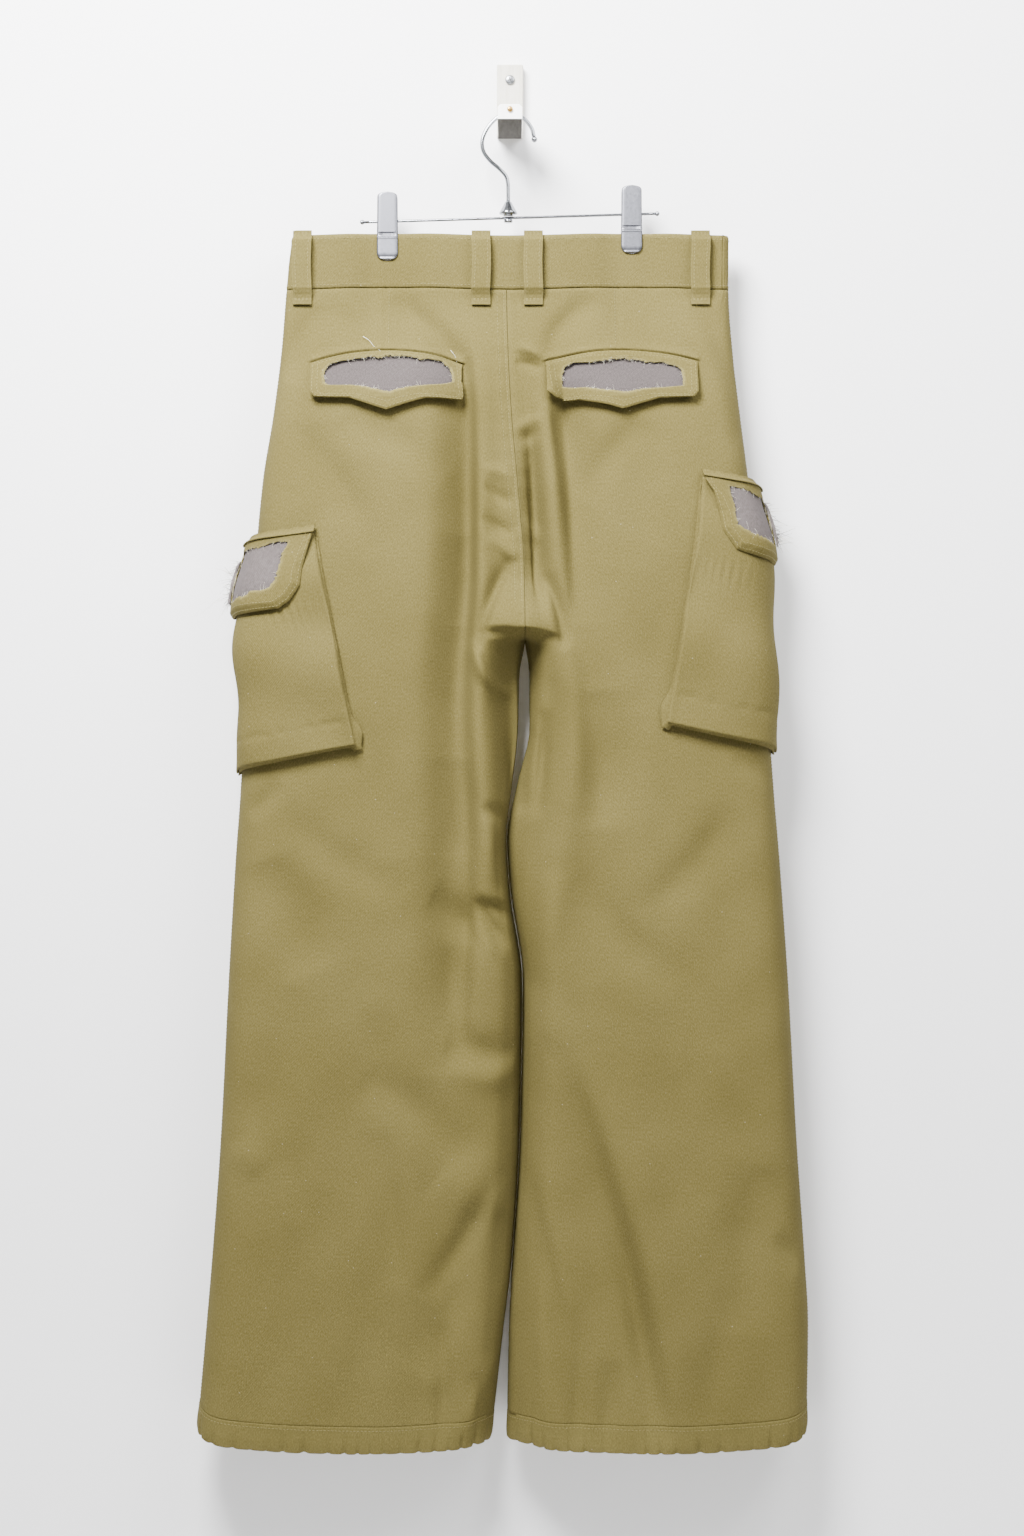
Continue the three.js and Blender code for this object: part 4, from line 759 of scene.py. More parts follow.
def woven_cotton(name, colours, worn, spacing, depth, speck):
    """Garment-washed twill: diagonal ribs, drawn a little coarser than the real 0.5 mm so that they show, and
    a grain of single threads keep it from looking like paper; washing leaves soft clouds, torn edges are
    paler, and a little lint lies on it. Spacing is in metres."""
    made, tree, shader = new_material(name)
    cloth = add(tree, "UVMap", uv_map="cut_mm")
    place = (add(tree, "TexCoord"), "Object")
    cloud = noise_node(tree, place, 13.0, 3.0)
    yarns = add(tree, "Mapping", {"Vector": (cloth, 0), "Scale": (900.0, 480.0, 1.0)})
    grain = noise_node(tree, (yarns, 0), 1.0, 2.0)
    parts = add(tree, "SeparateXYZ", {0: (cloth, 0)})
    turn = 2 * math.pi / spacing
    across = add(tree, "Math", {0: (parts, 0), 1: turn}, operation="MULTIPLY")
    along = sum_node(tree, (parts, 1), turn * 0.62, (across, 0))
    rib = add(tree, "Math", {0: (along, 0)}, operation="SINE")
    faint = add(tree, "Math", {0: (cloud, 0), 1: 0.3}, operation="MULTIPLY")
    ribbed = sum_node(tree, (rib, 0), 0.04, (faint, 0))
    tone = sum_node(tree, (grain, 0), 0.8, (ribbed, 0))
    dyed = ramp(tree, (tone, 0), 0.32, 0.78, colours)
    torn = add(tree, "Attribute", attribute_name="wear")
    rubbed = noise_node(tree, place, 260.0, 2.0)
    share = add(tree, "Math", {0: (torn, "Fac"), 1: (rubbed, 0)}, operation="MULTIPLY")
    faded = add(tree, "Mix", {0: (share, 0), 6: (dyed, 0), 7: linear(worn)}, data_type="RGBA")
    specks = add(tree, "TexVoronoi", {"Vector": place, "Scale": 60.0})
    near = add(tree, "Math", {0: (specks, "Distance"), 1: 0.03}, operation="LESS_THAN")
    pale = add(tree, "Math", {0: (near, 0), 1: speck}, operation="MULTIPLY")
    flecked = add(tree, "Mix", {0: (pale, 0), 6: (faded, 2), 7: linear("#B9B199")}, data_type="RGBA")
    crumple = noise_node(tree, place, 70.0, 2.0)
    woven = sum_node(tree, (rib, 0), 0.12, (crumple, 0))
    tall = sum_node(tree, (grain, 0), 0.45, (woven, 0))
    bump = add(tree, "Bump", {"Strength": depth, "Distance": 0.001, "Height": (tall, 0)})
    plug(tree, shader, {"Base Color": (flecked, 2), "Roughness": 0.92, "Specular IOR Level": 0.06,
                        "Normal": (bump, 0)})
    return made


def dull(name, colour):
    """A plain dull finish: sewing thread, too fine for its twist to show, or painted shade in a recess."""
    return new_material(name, {"Base Color": linear(colour), "Roughness": 0.8})[0]


def plated_metal(name, colour, roughness, grain, grain_scale):
    """Plated or turned metal with a faint uneven polish, whose grain is in scale per metre."""
    made, tree, shader = new_material(name, {"Base Color": linear(colour), "Metallic": 1.0})
    uneven = noise_node(tree, (add(tree, "TexCoord"), "Object"), grain_scale, 3.0)
    spread = add(tree, "MapRange",
                 {0: (uneven, 0), 1: 0.3, 2: 0.7, 3: roughness - grain, 4: roughness + grain})
    plug(tree, shader, {"Roughness": (spread, 0)})
    return made


def painted_wood(name, colours, roughness=0.5, shine=0.5):
    """Beech under brush paint: the grain shows faintly through as long streaks, with a satin surface."""
    made, tree, shader = new_material(name, {"Roughness": roughness, "Specular IOR Level": shine})
    place = (add(tree, "TexCoord"), "Object")
    along = add(tree, "Mapping", {"Vector": place, "Scale": (420.0, 60.0, 42.0)})
    streak = noise_node(tree, (along, 0), 1.0, 3.0)
    bump = add(tree, "Bump", {"Strength": 0.25, "Distance": 0.0004, "Height": (streak, 0)})
    plug(tree, shader, {"Base Color": (ramp(tree, (streak, 0), 0.3, 0.7, colours), 0), "Normal": (bump, 0)})
    return made


def horn_resin(name):
    """Horn-look polyester button: brown with cloudy streaks, polished."""
    made, tree, shader = new_material(name, {"Roughness": 0.3})
    cloud = noise_node(tree, (add(tree, "TexCoord"), "Object"), 160.0, 3.0)
    plug(tree, shader, {"Base Color": (ramp(tree, (cloud, 0), 0.35, 0.65, ("#3A2C1C", "#6B5536")), 0)})
    return made


def wall_paint(name, colour, backfaces_clear):
    """Matt paint; seen from behind, the wall is clear, so that the other side of the pants shows."""
    made, tree, shader = new_material(name,
                                      {"Base Color": colour, "Roughness": 0.95, "Specular IOR Level": 0.1})
    if backfaces_clear:
        clear, side = add(tree, "BsdfTransparent"), add(tree, "NewGeometry")
        both = add(tree, "MixShader", {0: (side, "Backfacing"), 1: (shader, 0), 2: (clear, 0)})
        plug(tree, tree.nodes["Material Output"], {"Surface": (both, 0)})
    return made


KHAKI = ("#4B4422", "#574F2C", "#635B36")
LINING_GREYS = ("#403A39", "#4A4443", "#544E4D")
CREAM = ("#B9B4A6", "#C3BFB2", "#C9C6BB")
WHITE = ("#F2F1EF", "#F6F6F4", "#FAFAF9")
# Darker greys for the arm's underside: painted shade on the same white-painted wood
UNDERSIDE_SHADE_GREYS = ("#4A4845", "#504E4B", "#565450")
MATERIALS = {}


def material(key):
    """The named material, made once from the panel's settings."""
    if key not in MATERIALS:
        cloth = bpy.context.scene.cargo_pants
        makers = {
            "washed_twill": lambda: woven_cotton("Washed khaki cotton twill", KHAKI, "#80774E",
                                                 cloth.weave_spacing, 0.3, 0.25),
            "brushed_lining": lambda: woven_cotton("Brushed grey cotton lining", LINING_GREYS, "#837B79",
                                                   cloth.weave_spacing, 0.3, 0.0),
            "tan_thread": lambda: dull("Tan sewing thread", "#71683C"),
            "raw_thread": lambda: dull("Frayed raw cotton thread", "#C4BFAE"),
            # Dark thread; along the windows' upper edges it also stands for the shade there
            "dark_thread": lambda: dull("Dark frayed thread with painted shade", "#35302A"),
            "chrome": lambda: plated_metal("Bright chrome wire", "#8C8E92", 0.2, 0.05, 300.0),
            "sheet_steel": lambda: plated_metal("Nickel-plated sheet steel", "#6E6F75", 0.42, 0.05, 500.0),
            "screw_steel": lambda: plated_metal("Zinc-plated screw", "#85878A", 0.35, 0.06, 900.0),
            "turned_brass": lambda: plated_metal("Turned brass screw", "#B08A45", 0.35, 0.06, 900.0),
            "cream_wood": lambda: painted_wood("Cream painted beech", CREAM),
            # The arm's underside: painted shade, darker greys on the white paint, kept dull so that it stays
            # dark
            "underside_shade_wood": lambda: painted_wood("Painted shade on the arm's underside", UNDERSIDE_SHADE_GREYS,
                                              0.95, 0.02),
            "white_wood": lambda: painted_wood("White painted beech", WHITE),
            "horn_resin": lambda: horn_resin("Horn-look resin"),
            # Painted shade: near-black for the cross recess in each screw head
            "recess_shade": lambda: dull("Painted shade in a screw recess", "#3A3A3A"),
        }
        MATERIALS[key] = makers[key]()
    return MATERIALS[key]


# Threads
def threads(name, paths, radius, finish):
    """Loose threads: many like paths (count, steps, 3), each a three-sided tube that thins to its end."""
    count, steps = paths.shape[:2]
    ahead = np.gradient(paths, axis=1)
    ahead /= np.maximum(np.linalg.norm(ahead, axis=-1, keepdims=True), 1e-9)
    aside = np.cross(ahead, [0.21, 0.94, 0.27])
    aside /= np.maximum(np.linalg.norm(aside, axis=-1, keepdims=True), 1e-9)
    third = np.cross(ahead, aside)
    angle = np.arange(3) * 2 * math.pi / 3
    thin = np.linspace(1, 0.35, steps)[None, :, None, None] * np.reshape(radius, (-1, 1, 1, 1))
    ring = aside[:, :, None] * np.cos(angle)[:, None] + third[:, :, None] * np.sin(angle)[:, None]
    points = (paths[:, :, None] + ring * thin).reshape(-1, 3)
    base = (np.arange(count) * steps * 3)[:, None, None]
    faces = (base + grid_faces(steps, 3, ring=True)[:, ::-1][None]).reshape(-1, 4).tolist()
    last = 3 * (steps - 1)
    ends = np.array([[2, 1, 0], [last, last + 1, last + 2]])
    faces += (base + ends[None]).reshape(-1, 3).tolist()
    return new_piece(name, points, faces, "khaki_cotton", finish)


def fray_length():
    """The panel's longest fray, in mm."""
    return bpy.context.scene.cargo_pants.fray_length / MM


def frayed(name, grid, way, count, longest, seed, finish, radius=0.17, where=None):
    """Frayed threads along the torn edge, the last ring of a grid: each runs on into the window, bends aside
    and lifts, with lengths that favour short ones."""
    rng = np.random.default_rng(seed)
    edge, before = grid[-1], grid[-3]
    allowed = np.arange(grid.shape[1]) if where is None else np.nonzero(where)[0]
    pick = rng.choice(allowed, count)
    out = -way[-1][pick]
    inwards = edge[pick] - before[pick]
    inwards /= np.maximum(np.linalg.norm(inwards, axis=1, keepdims=True), 1e-9)
    aside = np.cross(inwards, out)
    length = longest * rng.beta(1.3, 2.6, count)[:, None, None] + 0.8
    t = np.linspace(0, 1, 6)[None, :, None]
    lean, bend = rng.normal(0, 0.5, (count, 1, 1)), rng.normal(0, 0.45, (count, 1, 1))
    rise = rng.uniform(-0.1, 0.4, (count, 1, 1))
    start = edge[pick][:, None] - out[:, None] * 0.5 - inwards[:, None] * 0.8
    paths = (start + inwards[:, None] * length * t + aside[:, None] * length * (lean * t + bend * t ** 2)
             + out[:, None] * (0.35 * np.sin(math.pi * t) + rise * t * 1.6))
    return threads(name, paths, radius * rng.uniform(0.6, 1.2, count), finish)


def tangle(name, along, out, count, longest, seed, finish, radius=0.16):
    """A tangle of threads along a rolled edge: each starts on it and wanders off, falling."""
    rng = np.random.default_rng(seed)
    at_row = rng.integers(0, len(along), count)
    t = np.linspace(0, 1, 9)[None, :, None]
    length = longest * rng.beta(1.2, 2.4, count)[:, None, None] + 1.5
    heading = rng.normal(0, 1, (count, 1, 3)) * np.array([0.9, 0.35, 0.8]) + out[at_row][:, None] * 0.5
    curl = rng.normal(0, 0.7, (count, 1, 3))
    fall = np.array([0, 0, -0.35]) * t ** 2
    paths = along[at_row][:, None] + length * (heading * t + curl * t ** 2 * (1 - 0.4 * t) + fall)
    return threads(name, paths, radius * rng.uniform(0.6, 1.3, count), finish)


SEWN = []


def sewn(line, out, lift):
    """Keeps a line on a piece's skin for its row of stitches."""
    SEWN.append((line + out * lift, out))


# The cloth's small relief
def gathers(w):
    """Uneven gathers along a line, w in mm: flat stretches with narrow dents, bell(sin(phase) / 0.4) of a
    phase that wanders, whose depth swells and fades."""
    phase = math.pi * w / 15.0 + 1.2 * np.sin(w / 37.0 + 0.7) + 0.7 * np.sin(w / 13.7)
    swell = 0.25 + 0.75 * (0.5 + 0.5 * np.sin(w / 33.0 + 2) * np.sin(w / 12.0 + 1)) ** 1.5
    return (0.35 - 1.3 * bell(np.sin(phase) / 0.4)) * swell


def gather_height(side, s, z, size):
    """Gathers just above the hem, growing towards it, that stop short of the inseam."""
    ends = smooth((BACK_END - s) / 0.8) * smooth((s + FRONT_END) / 0.8)
    return size * gathers(width_at(side, s, z)) * smooth((GATHERS_FROM - z) / 30) ** 1.3 * ends


DARTS = {"left": -112.0, "right": 97.5}
WELT = {"rise": 2.8, "lip": 0.8, "fall": 5.0}


def welt(side, x, height):
    """The lip of the yoke over a back flap's top edge: a sharp step that fades above it."""
    shape = BACK_FLAPS[side]
    t = (x - shape["x"]) / shape["half"]
    above = height - mix(shape["top_ends"], shape["top_apex"], 1 - t * t) - 0.3
    ends = smooth((1.04 - np.abs(t)) / 0.05)
    return WELT["rise"] * smooth(above / WELT["lip"]) * bell(np.maximum(0, above) / WELT["fall"]) * ends


def seam_relief(side, s, z, point):
    """How far seams raise the back: the felled seat, the dart and the band's pull."""
    x, height = point[..., 0], point[..., 2]
    from_edge = np.abs(at(LEGS[side], "inner", z) - x)
    fell = smooth((11.5 - from_edge) / 2) * (0.75 if side == "left" else 0.0)
    pull = -0.3 * bell((from_edge - 2.5) / 1.2) - 0.3 * bell((from_edge - 8.5) / 1.2)
    pucker = 0.28 * np.sin(height / 2.9 + np.sin(height / 17)) * bell((from_edge - 6) / 9)
    seat = (fell + (pull + pucker) * (1 if side == "left" else 0.7)) * smooth((z - INSEAM_FROM) / 60)
    dart_fade = smooth((height + 240) / 14)
    dart = (-0.9 * bell((x - DARTS[side]) / 1.1)
            + 0.45 * bell((x - DARTS[side] + SIGN[side] * 3) / 2.4)) * dart_fade
    below_band = smooth((height + 212) / 30) * 0.3 * gathers(width_at(side, s, z) * 1.3 + 30)
    inseam = (-0.5 * bell(from_edge / 1.6)
              + 0.4 * smooth((9 - from_edge) / 2)) * smooth((INSEAM_FROM - z) / 40)
    return seat + dart + below_band + inseam + welt(side, x, height)


def cut(grid):
    """The flat size of what a grid covers: longest row and column, and area, in metres."""
    width = np.linalg.norm(np.diff(grid, axis=1), axis=-1).sum(1).max()
    length = np.linalg.norm(np.diff(grid, axis=0), axis=-1).sum(0).max()
    a, b = grid[1:, 1:] - grid[:-1, :-1], grid[1:, :-1] - grid[:-1, 1:]
    area = np.linalg.norm(np.cross(a, b), axis=-1).sum() / 2
    flat = (float(width * MM), float(length * MM))
    return flat, float(min(area * MM * MM, flat[0] * flat[1]))


def edge_wear(distance, reach=4.0):
    """Paler cloth within a few mm of an edge."""
    return bell(np.maximum(0, distance) / reach)


PANEL_HEIGHTS = np.concatenate([
    np.linspace(WAIST_SEAM - SEAM, -231, 18)[:-1], np.linspace(-231, -252, 29)[:-1],
    np.linspace(-252, -464, 63)[:-1], np.linspace(-464, CROTCH_ROW, 30)[:-1],
    np.linspace(CROTCH_ROW, -600, 28)[:-1], np.linspace(-600, -1100, 108)[:-1],
    np.linspace(-1100, HEM_SEAM, 26),
])


def panel_piece(side, half):
    """A back or front panel: the leg's form, whose edges stop short of the seam lines."""
    sign = SIGN[side]
    back = half == "back"
    out = -1 if back else 1
    rows = PANEL_HEIGHTS if back else PANEL_HEIGHTS[::2]
    rows = np.append(rows, PANEL_HEIGHTS[-1]) if rows[-1] != PANEL_HEIGHTS[-1] else rows
    middle = ROWS[side]["w"][len(ROW_HEIGHTS) // 2]
    reach_w = middle[-1] if back else middle[0]
    widths = np.linspace(0, reach_w, 132 if back else 58)
    stops = np.interp(widths, middle, ROW_STOPS)
    stops[-1] = BACK_END if back else -FRONT_END
    stops[0] = 0.0 if back else -1e-6
    s, z = np.broadcast_arrays(stops[None, :], rows[:, None])
    point = leg(side, s, z)
    way = inward(side, s, z)
    raised = gather_height(side, s, z, 0.45)
    if back:
        raised = raised + seam_relief(side, s, z, point)
    raised = raised * smooth(np.abs(s) / 0.3)
    point = point - way * raised[..., None]
    point[:, 0, 1] += out * SEAM
    way[:, 0] = (sign, 0, 0)
    upper = rows >= CROTCH_ROW
    point[upper, -1, 0] -= sign * SEAM
    point[~upper, -1, 1] += out * SEAM
    way[upper, -1, 0] = 0
    way[~upper, -1, 1] = 0
    way[:, -1] /= np.linalg.norm(way[:, -1], axis=-1, keepdims=True)
    w = width_at(side, s, z)
    wear = 0.15 * edge_wear(np.minimum(np.abs(w), np.abs(w[:, -1:] - w)), 3.0)
    piece = cloth_piece(f"{half}_panel_{side}", f"{half}_{side}", point, point + way * CLOTH,
                        np.stack([w, point[..., 2]], -1), wear)
    return (piece, *cut(point))


def hem_piece(side):
    """A gathered tunnel hem: a ring that laps over the panels' end, rounded at its lower edge."""
    seam = HEM_SEAM + HEM_LAP
    start, end = width_at(side, -FRONT_END, seam), width_at(side, BACK_END, seam)
    w = np.linspace(float(start), float(end), 400, endpoint=False)
    t = np.array([0, 0.06, 0.14, 0.24, 0.36, 0.5, 0.64, 0.78, 0.88, 0.95, 0.99, 1.0])
    proud = np.interp(t, [0, 0.1, 0.3, 0.6, 0.85, 1.0], [0.25, 0.3, 0.5, 0.8, 0.6, -0.3])
    size = np.interp(t, [0, 0.3, 0.7, 1.0], [0.45, 0.5, 1.6, 2.2])
    thick = np.interp(t, [0, 0.9, 1.0], [HEM_CLOTH, HEM_CLOTH, 1.2])
    s, z = np.broadcast_arrays(around_leg(side, w, np.full_like(w, seam))[None],
                               mix(seam, HEM_EDGE, t)[:, None])
    fade = smooth((BACK_END - s) / 0.5) * smooth((s + FRONT_END) / 0.5)
    lift = proud[:, None] + size[:, None] * gathers(w)[None] * fade
    way = inward(side, s, z)
    outer = leg(side, s, z) - way * lift[..., None]
    outer[..., 2] -= 1.1 * gathers(w)[None] * fade * t[:, None] ** 3
    sewn(outer[2], -way[2], 0.1)
    wear = 0.2 * edge_wear((1 - t)[:, None] * 22) + 0 * s
    uv = np.stack([w[None] + 0 * s, outer[..., 2]], -1)
    piece = cloth_piece(f"hem_{side}_cloth", f"hem_{side}", outer, outer + way * thick[:, None, None],
                        uv, wear, ring=True)
    return (piece, *cut(np.concatenate([outer, outer[:, :1]], 1)))


LAP_STOPS = 6


def waistband_stops():
    """The waistband's stops: the left front from the centre, round the left, the back and the right, to the
    centre front again, and on over its own start; with how far the lapped end has risen."""
    half = ROW_STOPS
    left = np.stack([np.zeros_like(half), half], -1)
    right = np.stack([np.ones_like(half), half[::-1]], -1)
    lap = np.stack([np.zeros(LAP_STOPS), np.linspace(-6.94, -6.6, LAP_STOPS)], -1)
    return np.concatenate([left, right[1:], lap])


def waistband_piece():
    """The waistband: a strip round the waist, pulled by its stitching, with a soft roll at the top."""
    stops = waistband_stops()
    t = np.array([0, 0.03, 0.08, 0.14, 0.25, 0.4, 0.55, 0.7, 0.82, 0.9, 0.96, 1.0])
    heights = mix(WAIST_TOP, WAIST_SEAM + 3 * SEAM, t)
    roll = np.interp(t, [0, 0.03, 0.08, 0.14, 0.5, 0.9, 0.96, 1.0],
                     [-0.9, -0.2, 0.1, -0.1, 0.25, -0.05, 0.15, -0.1])
    outer = np.zeros((len(t), len(stops), 3))
    way = np.zeros_like(outer)
    w = np.zeros(len(stops))
    for index, side in enumerate(SIDES):
        pick = stops[:, 0] == index
        s, z = np.broadcast_arrays(stops[pick, 1][None], heights[:, None])
        outer[:, pick] = leg(side, s, z)
        way[:, pick] = inward(side, s, z - 1)
        w[pick] = width_at(side, stops[pick, 1], np.full(pick.sum(), WAIST_TOP - 5))
    reach_w = w[len(ROW_STOPS) - 1]
    w[len(ROW_STOPS):] = 2 * reach_w - w[len(ROW_STOPS):]
    last = (stops[:, 0] == 1) & (stops[:, 1] < 0)
    lap = np.where(last, smooth((60 - outer[0, :, 0]) / 60), 0)
    lap[-LAP_STOPS:] = 1
    crumple = 0.35 * noise(w / 9, seed=5)[None] * np.sin(math.pi * t)[:, None]
    at_rows = bell((t - 0.08) / 0.05) + bell((t - 0.92) / 0.05)
    pull = 0.22 * np.sin(w / 2.3 + 0.8 * np.sin(w / 11))[None] * at_rows[:, None]
    lift = roll[:, None] + (crumple + pull) * (1
                                               - lap)[None] * (np.abs(np.abs(outer[0, :, 0]) - CLIP_AT) > 13)
    outer = outer - way * (lap * (BAND_CLOTH + 0.35) + lift)[..., None]
    thick = BAND_CLOTH - 2 * np.interp(t, [0, 0.05, 1.0], [0.6, 0.0, 0.0])
    wear = 0.25 * edge_wear(t * (WAIST_TOP - WAIST_SEAM))[:, None] + 0 * lift
    uv = np.stack([np.broadcast_to(w, lift.shape), outer[..., 2]], -1)
    piece = cloth_piece("waistband_cloth", "waistband", outer, outer + way * thick[:, None, None], uv, wear)
    return (piece, *cut(outer))


LOOP = {"cloth": 1.6, "top": 1.2, "length": 67.0}
LOOPS = (
    ("side_left", -186.5, "near", 0.35), ("back_left", -26.0, "near", 0.0), ("back_right", 21.0, "near", 0.0),
    ("side_right", 171.0, "near", 0.0), ("front_left", -62.0, "far", 0.0), ("front_right", 62.0, "far", 0.0),
)
FACING = {"near": -1.0, "far": 1.0}
LOOP_HALF = 8.5
LOOP_DOWN = (0, 3, 5, 9, 30, 52, 58, 61, 67)
LOOP_LIFT = (0.8, 0.9, 2.2, 6.2, 6.8, 6.2, 2.4, 1.2, 0.8)


def loop_surface(x, face, fit, down, dx):
    """Points on a loop's outer face: the band or panel's own depth at each end, and clear of both between."""
    out = FACING[face]
    side = "left" if x < 0 else "right"
    down, dx = np.broadcast_arrays(np.asarray(down, float), np.asarray(dx, float))
    z = WAIST_TOP + LOOP["top"] - down
    read = np.minimum(z, WAIST_TOP - 2)
    place = on_back if face == "near" else on_front

    def depth(where):
        """The cloth's own distance from the wall at x."""
        return leg(side, place(side, where, read), read, fine=False)[..., 1]
    spread = out * np.max([out * depth(x + d + 0 * dx) for d in (-LOOP_HALF, 0, LOOP_HALF)], axis=0)
    lift = np.interp(down, LOOP_DOWN, LOOP_LIFT)
    held = smooth((lift - 1.2) / 2)
    y = mix(depth(x + dx), spread, held) + out * (lift + fit + LOOP["cloth"] - 0.25 * (dx / LOOP_HALF) ** 4)
    sway = 0.5 * np.sin(down / 11 + x) * held
    return np.stack([x + dx + sway, y, z], -1)


def loop_piece(name, x, face, fit):
    """A belt loop, folded strip sewn down at both ends."""
    down = np.concatenate([np.linspace(0, 12, 16), np.linspace(13.5, 50, 16), np.linspace(51, 67, 20)])
    dx = np.array([-8.5, -8.1, -7, -5, -2.5, 0, 2.5, 5, 7, 8.1, 8.5])
    outer = loop_surface(x, face, fit, down[:, None], dx[None])
    out = FACING[face]
    outer[..., 1] += out * 0.12 * np.sin(down[:, None] * 1.7) * bell((np.abs(dx) - 5.5) / 1.5)
    inner = outer.copy()
    inner[..., 1] -= out * LOOP["cloth"]
    ends = np.minimum(down, LOOP["length"] - down)[:, None]
    wear = 0.2 * edge_wear(LOOP_HALF - np.abs(dx)[None], 1.5) + 0.2 * edge_wear(ends, 2.5)
    uv = np.stack([dx[None] + 0 * down[:, None], -down[:, None] + 0 * dx[None]], -1)
    piece = cloth_piece(f"belt_loop_{name}_cloth", f"belt_loop_{name}", outer, inner, uv, np.minimum(1, wear))
    return (piece, *cut(outer))


# Flaps
BACK_FLAPS = {
    "left": {"x": -109.7, "half": 67.8, "top_ends": -246, "top_apex": -234.7, "side": -275, "shoulder": -279,
             "point": -289.6},
    "right": {"x": 99.6, "half": 68.2, "top_ends": -244.5, "top_apex": -234.7, "side": -274, "shoulder": -279,
              "point": -289.6},
}
# The torn windows about each flap's middle, from the upper left round by the right and the point below
BACK_WINDOWS = {
    "left": ((-50, -247.6), (-41, -245.8), (-27, -243.6), (-7, -242),
             (0.6, -240.8), (27, -242.6), (29.5, -244.5),
             (36, -243.3), (47, -245), (54, -250), (55.6, -255), (55.6, -264), (47, -266.4), (32, -268.3),
             (18, -270.1), (3, -274.6), (-3, -274.2), (-22, -269.5), (-33, -268.3),
             (-51, -268.3), (-54.5, -266.4),
             (-55.7, -261), (-54.5, -255)),
    "right": ((-50.5, -249), (-43.5, -245.8), (-32, -246.6), (-17, -245.8),
              (-6, -244.2), (6.5, -243.9), (30, -246.7),
              (37, -246.4), (48, -250.8), (52.2, -253.4), (53.4, -260), (54, -269), (43, -270), (24, -271.7),
              (11.5, -273.4), (1.5, -275.2), (-8.5, -273.4), (-20, -271.5), (-29, -269), (-38.5, -268.3),
              (-52.3, -266.4), (-53, -260), (-52.3, -254)),
}
FLAP_CENTRE = (0.0, -258.0)
LINING_HALF = 60.0
FLAP_STAND = 4.6
FLAP_ROWS = (2.0, 6.4)


def flap_stand(z):
    """How far a back flap stands off below its sewn top: a smooth rise over 36 mm."""
    return FLAP_STAND * smooth((-243 - z) / 36)


def reach(outline, centre, angle):
    """How far rays at these angles go from a centre to a closed outline of straight lines."""
    a = np.asarray(outline, float)
    e = np.roll(a, -1, axis=0) - a
    d = np.stack([np.cos(angle), np.sin(angle)], -1)[:, None]
    to = a - np.asarray(centre)
    det = e[:, 0] * d[..., 1] - e[:, 1] * d[..., 0]
    safe = np.where(np.abs(det) < 1e-9, np.nan, det)
    t = (e[:, 0] * to[:, 1] - e[:, 1] * to[:, 0]) / safe
    u = (d[..., 0] * to[:, 1] - d[..., 1] * to[:, 0]) / safe
    return np.nanmax(np.where((t > 0) & (u >= -1e-6) & (u <= 1 + 1e-6), t, np.nan), axis=1)


def flap_outline(half, top_ends, top_apex, side, shoulder, point, **_):
    """A pocket flap's outline about its own middle: a curved top, straight sides and a point below."""
    t = np.linspace(-1, 1, 17)
    top = np.stack([t * half, mix(top_ends, top_apex, 1 - t * t)], -1)
    below = [[half, side], [half - 4, shoulder], [half * 0.5, shoulder - 1],
             [0, point], [-half * 0.5, shoulder - 1],
             [4 - half, shoulder], [-half, side]]
    return np.concatenate([top, below])


def ragged(angle, size, seed):
    """How far a torn edge strays along its rays, in mm: two scales of smooth noise round the edge."""
    c, s = np.cos(angle), np.sin(angle)
    return size * (0.7 * noise(6 * c, 6 * s, seed=seed) + 0.5 * noise(30 * c, 30 * s, seed=seed + 1))


def windowed_rings(outline, window, centre, angle, share, stray):
    """Rings between an outline and a torn window in it: share is 0 at the outline and 1 at the window."""
    outside = reach(outline, centre, angle)
    inside = reach(window, centre, angle) + stray
    radius = mix(outside, inside, share[:, None])
    x, z = centre[0] + radius * np.cos(angle), centre[1] + radius * np.sin(angle)
    return x, z, outside - radius, radius - inside


RINGS = np.array([0, 0.015, 0.05, 0.12, 0.22, 0.35, 0.5, 0.65, 0.78, 0.88, 0.95, 1.0])


def even_angles(outline, centre, count):
    """Angles whose rays meet an outline at even steps, so that a long flap is as fine at its far end."""
    a = np.asarray(outline, float)
    closed = np.concatenate([a, a[:1]])
    w = np.concatenate([[0], np.cumsum(np.linalg.norm(np.diff(closed, axis=0), axis=1))])
    at_w = np.linspace(0, w[-1], count, endpoint=False)
    x = np.interp(at_w, w, closed[:, 0]) - centre[0]
    z = np.interp(at_w, w, closed[:, 1]) - centre[1]
    plain = np.arctan2(z, x)
    return np.unwrap(plain)


def ring_line(outer, way, distance, inset, from_inside=False):
    """The line on a ring piece's skin at a distance from an edge, and the ways out of it."""
    columns = np.arange(outer.shape[1])
    order = slice(None, None, -1) if from_inside else slice(None)
    skin, ways, d = outer[order], way[order], distance[order]
    i = np.clip((d < inset).sum(0), 1, len(d) - 1)
    t = ((inset - d[i - 1, columns]) / np.maximum(d[i, columns] - d[i - 1, columns], 1e-6))[:, None]
    line, turned = (mix(grid[i - 1, columns], grid[i, columns], t) for grid in (skin, ways))
    return np.concatenate([line, line[:1]]), -np.concatenate([turned, turned[:1]])


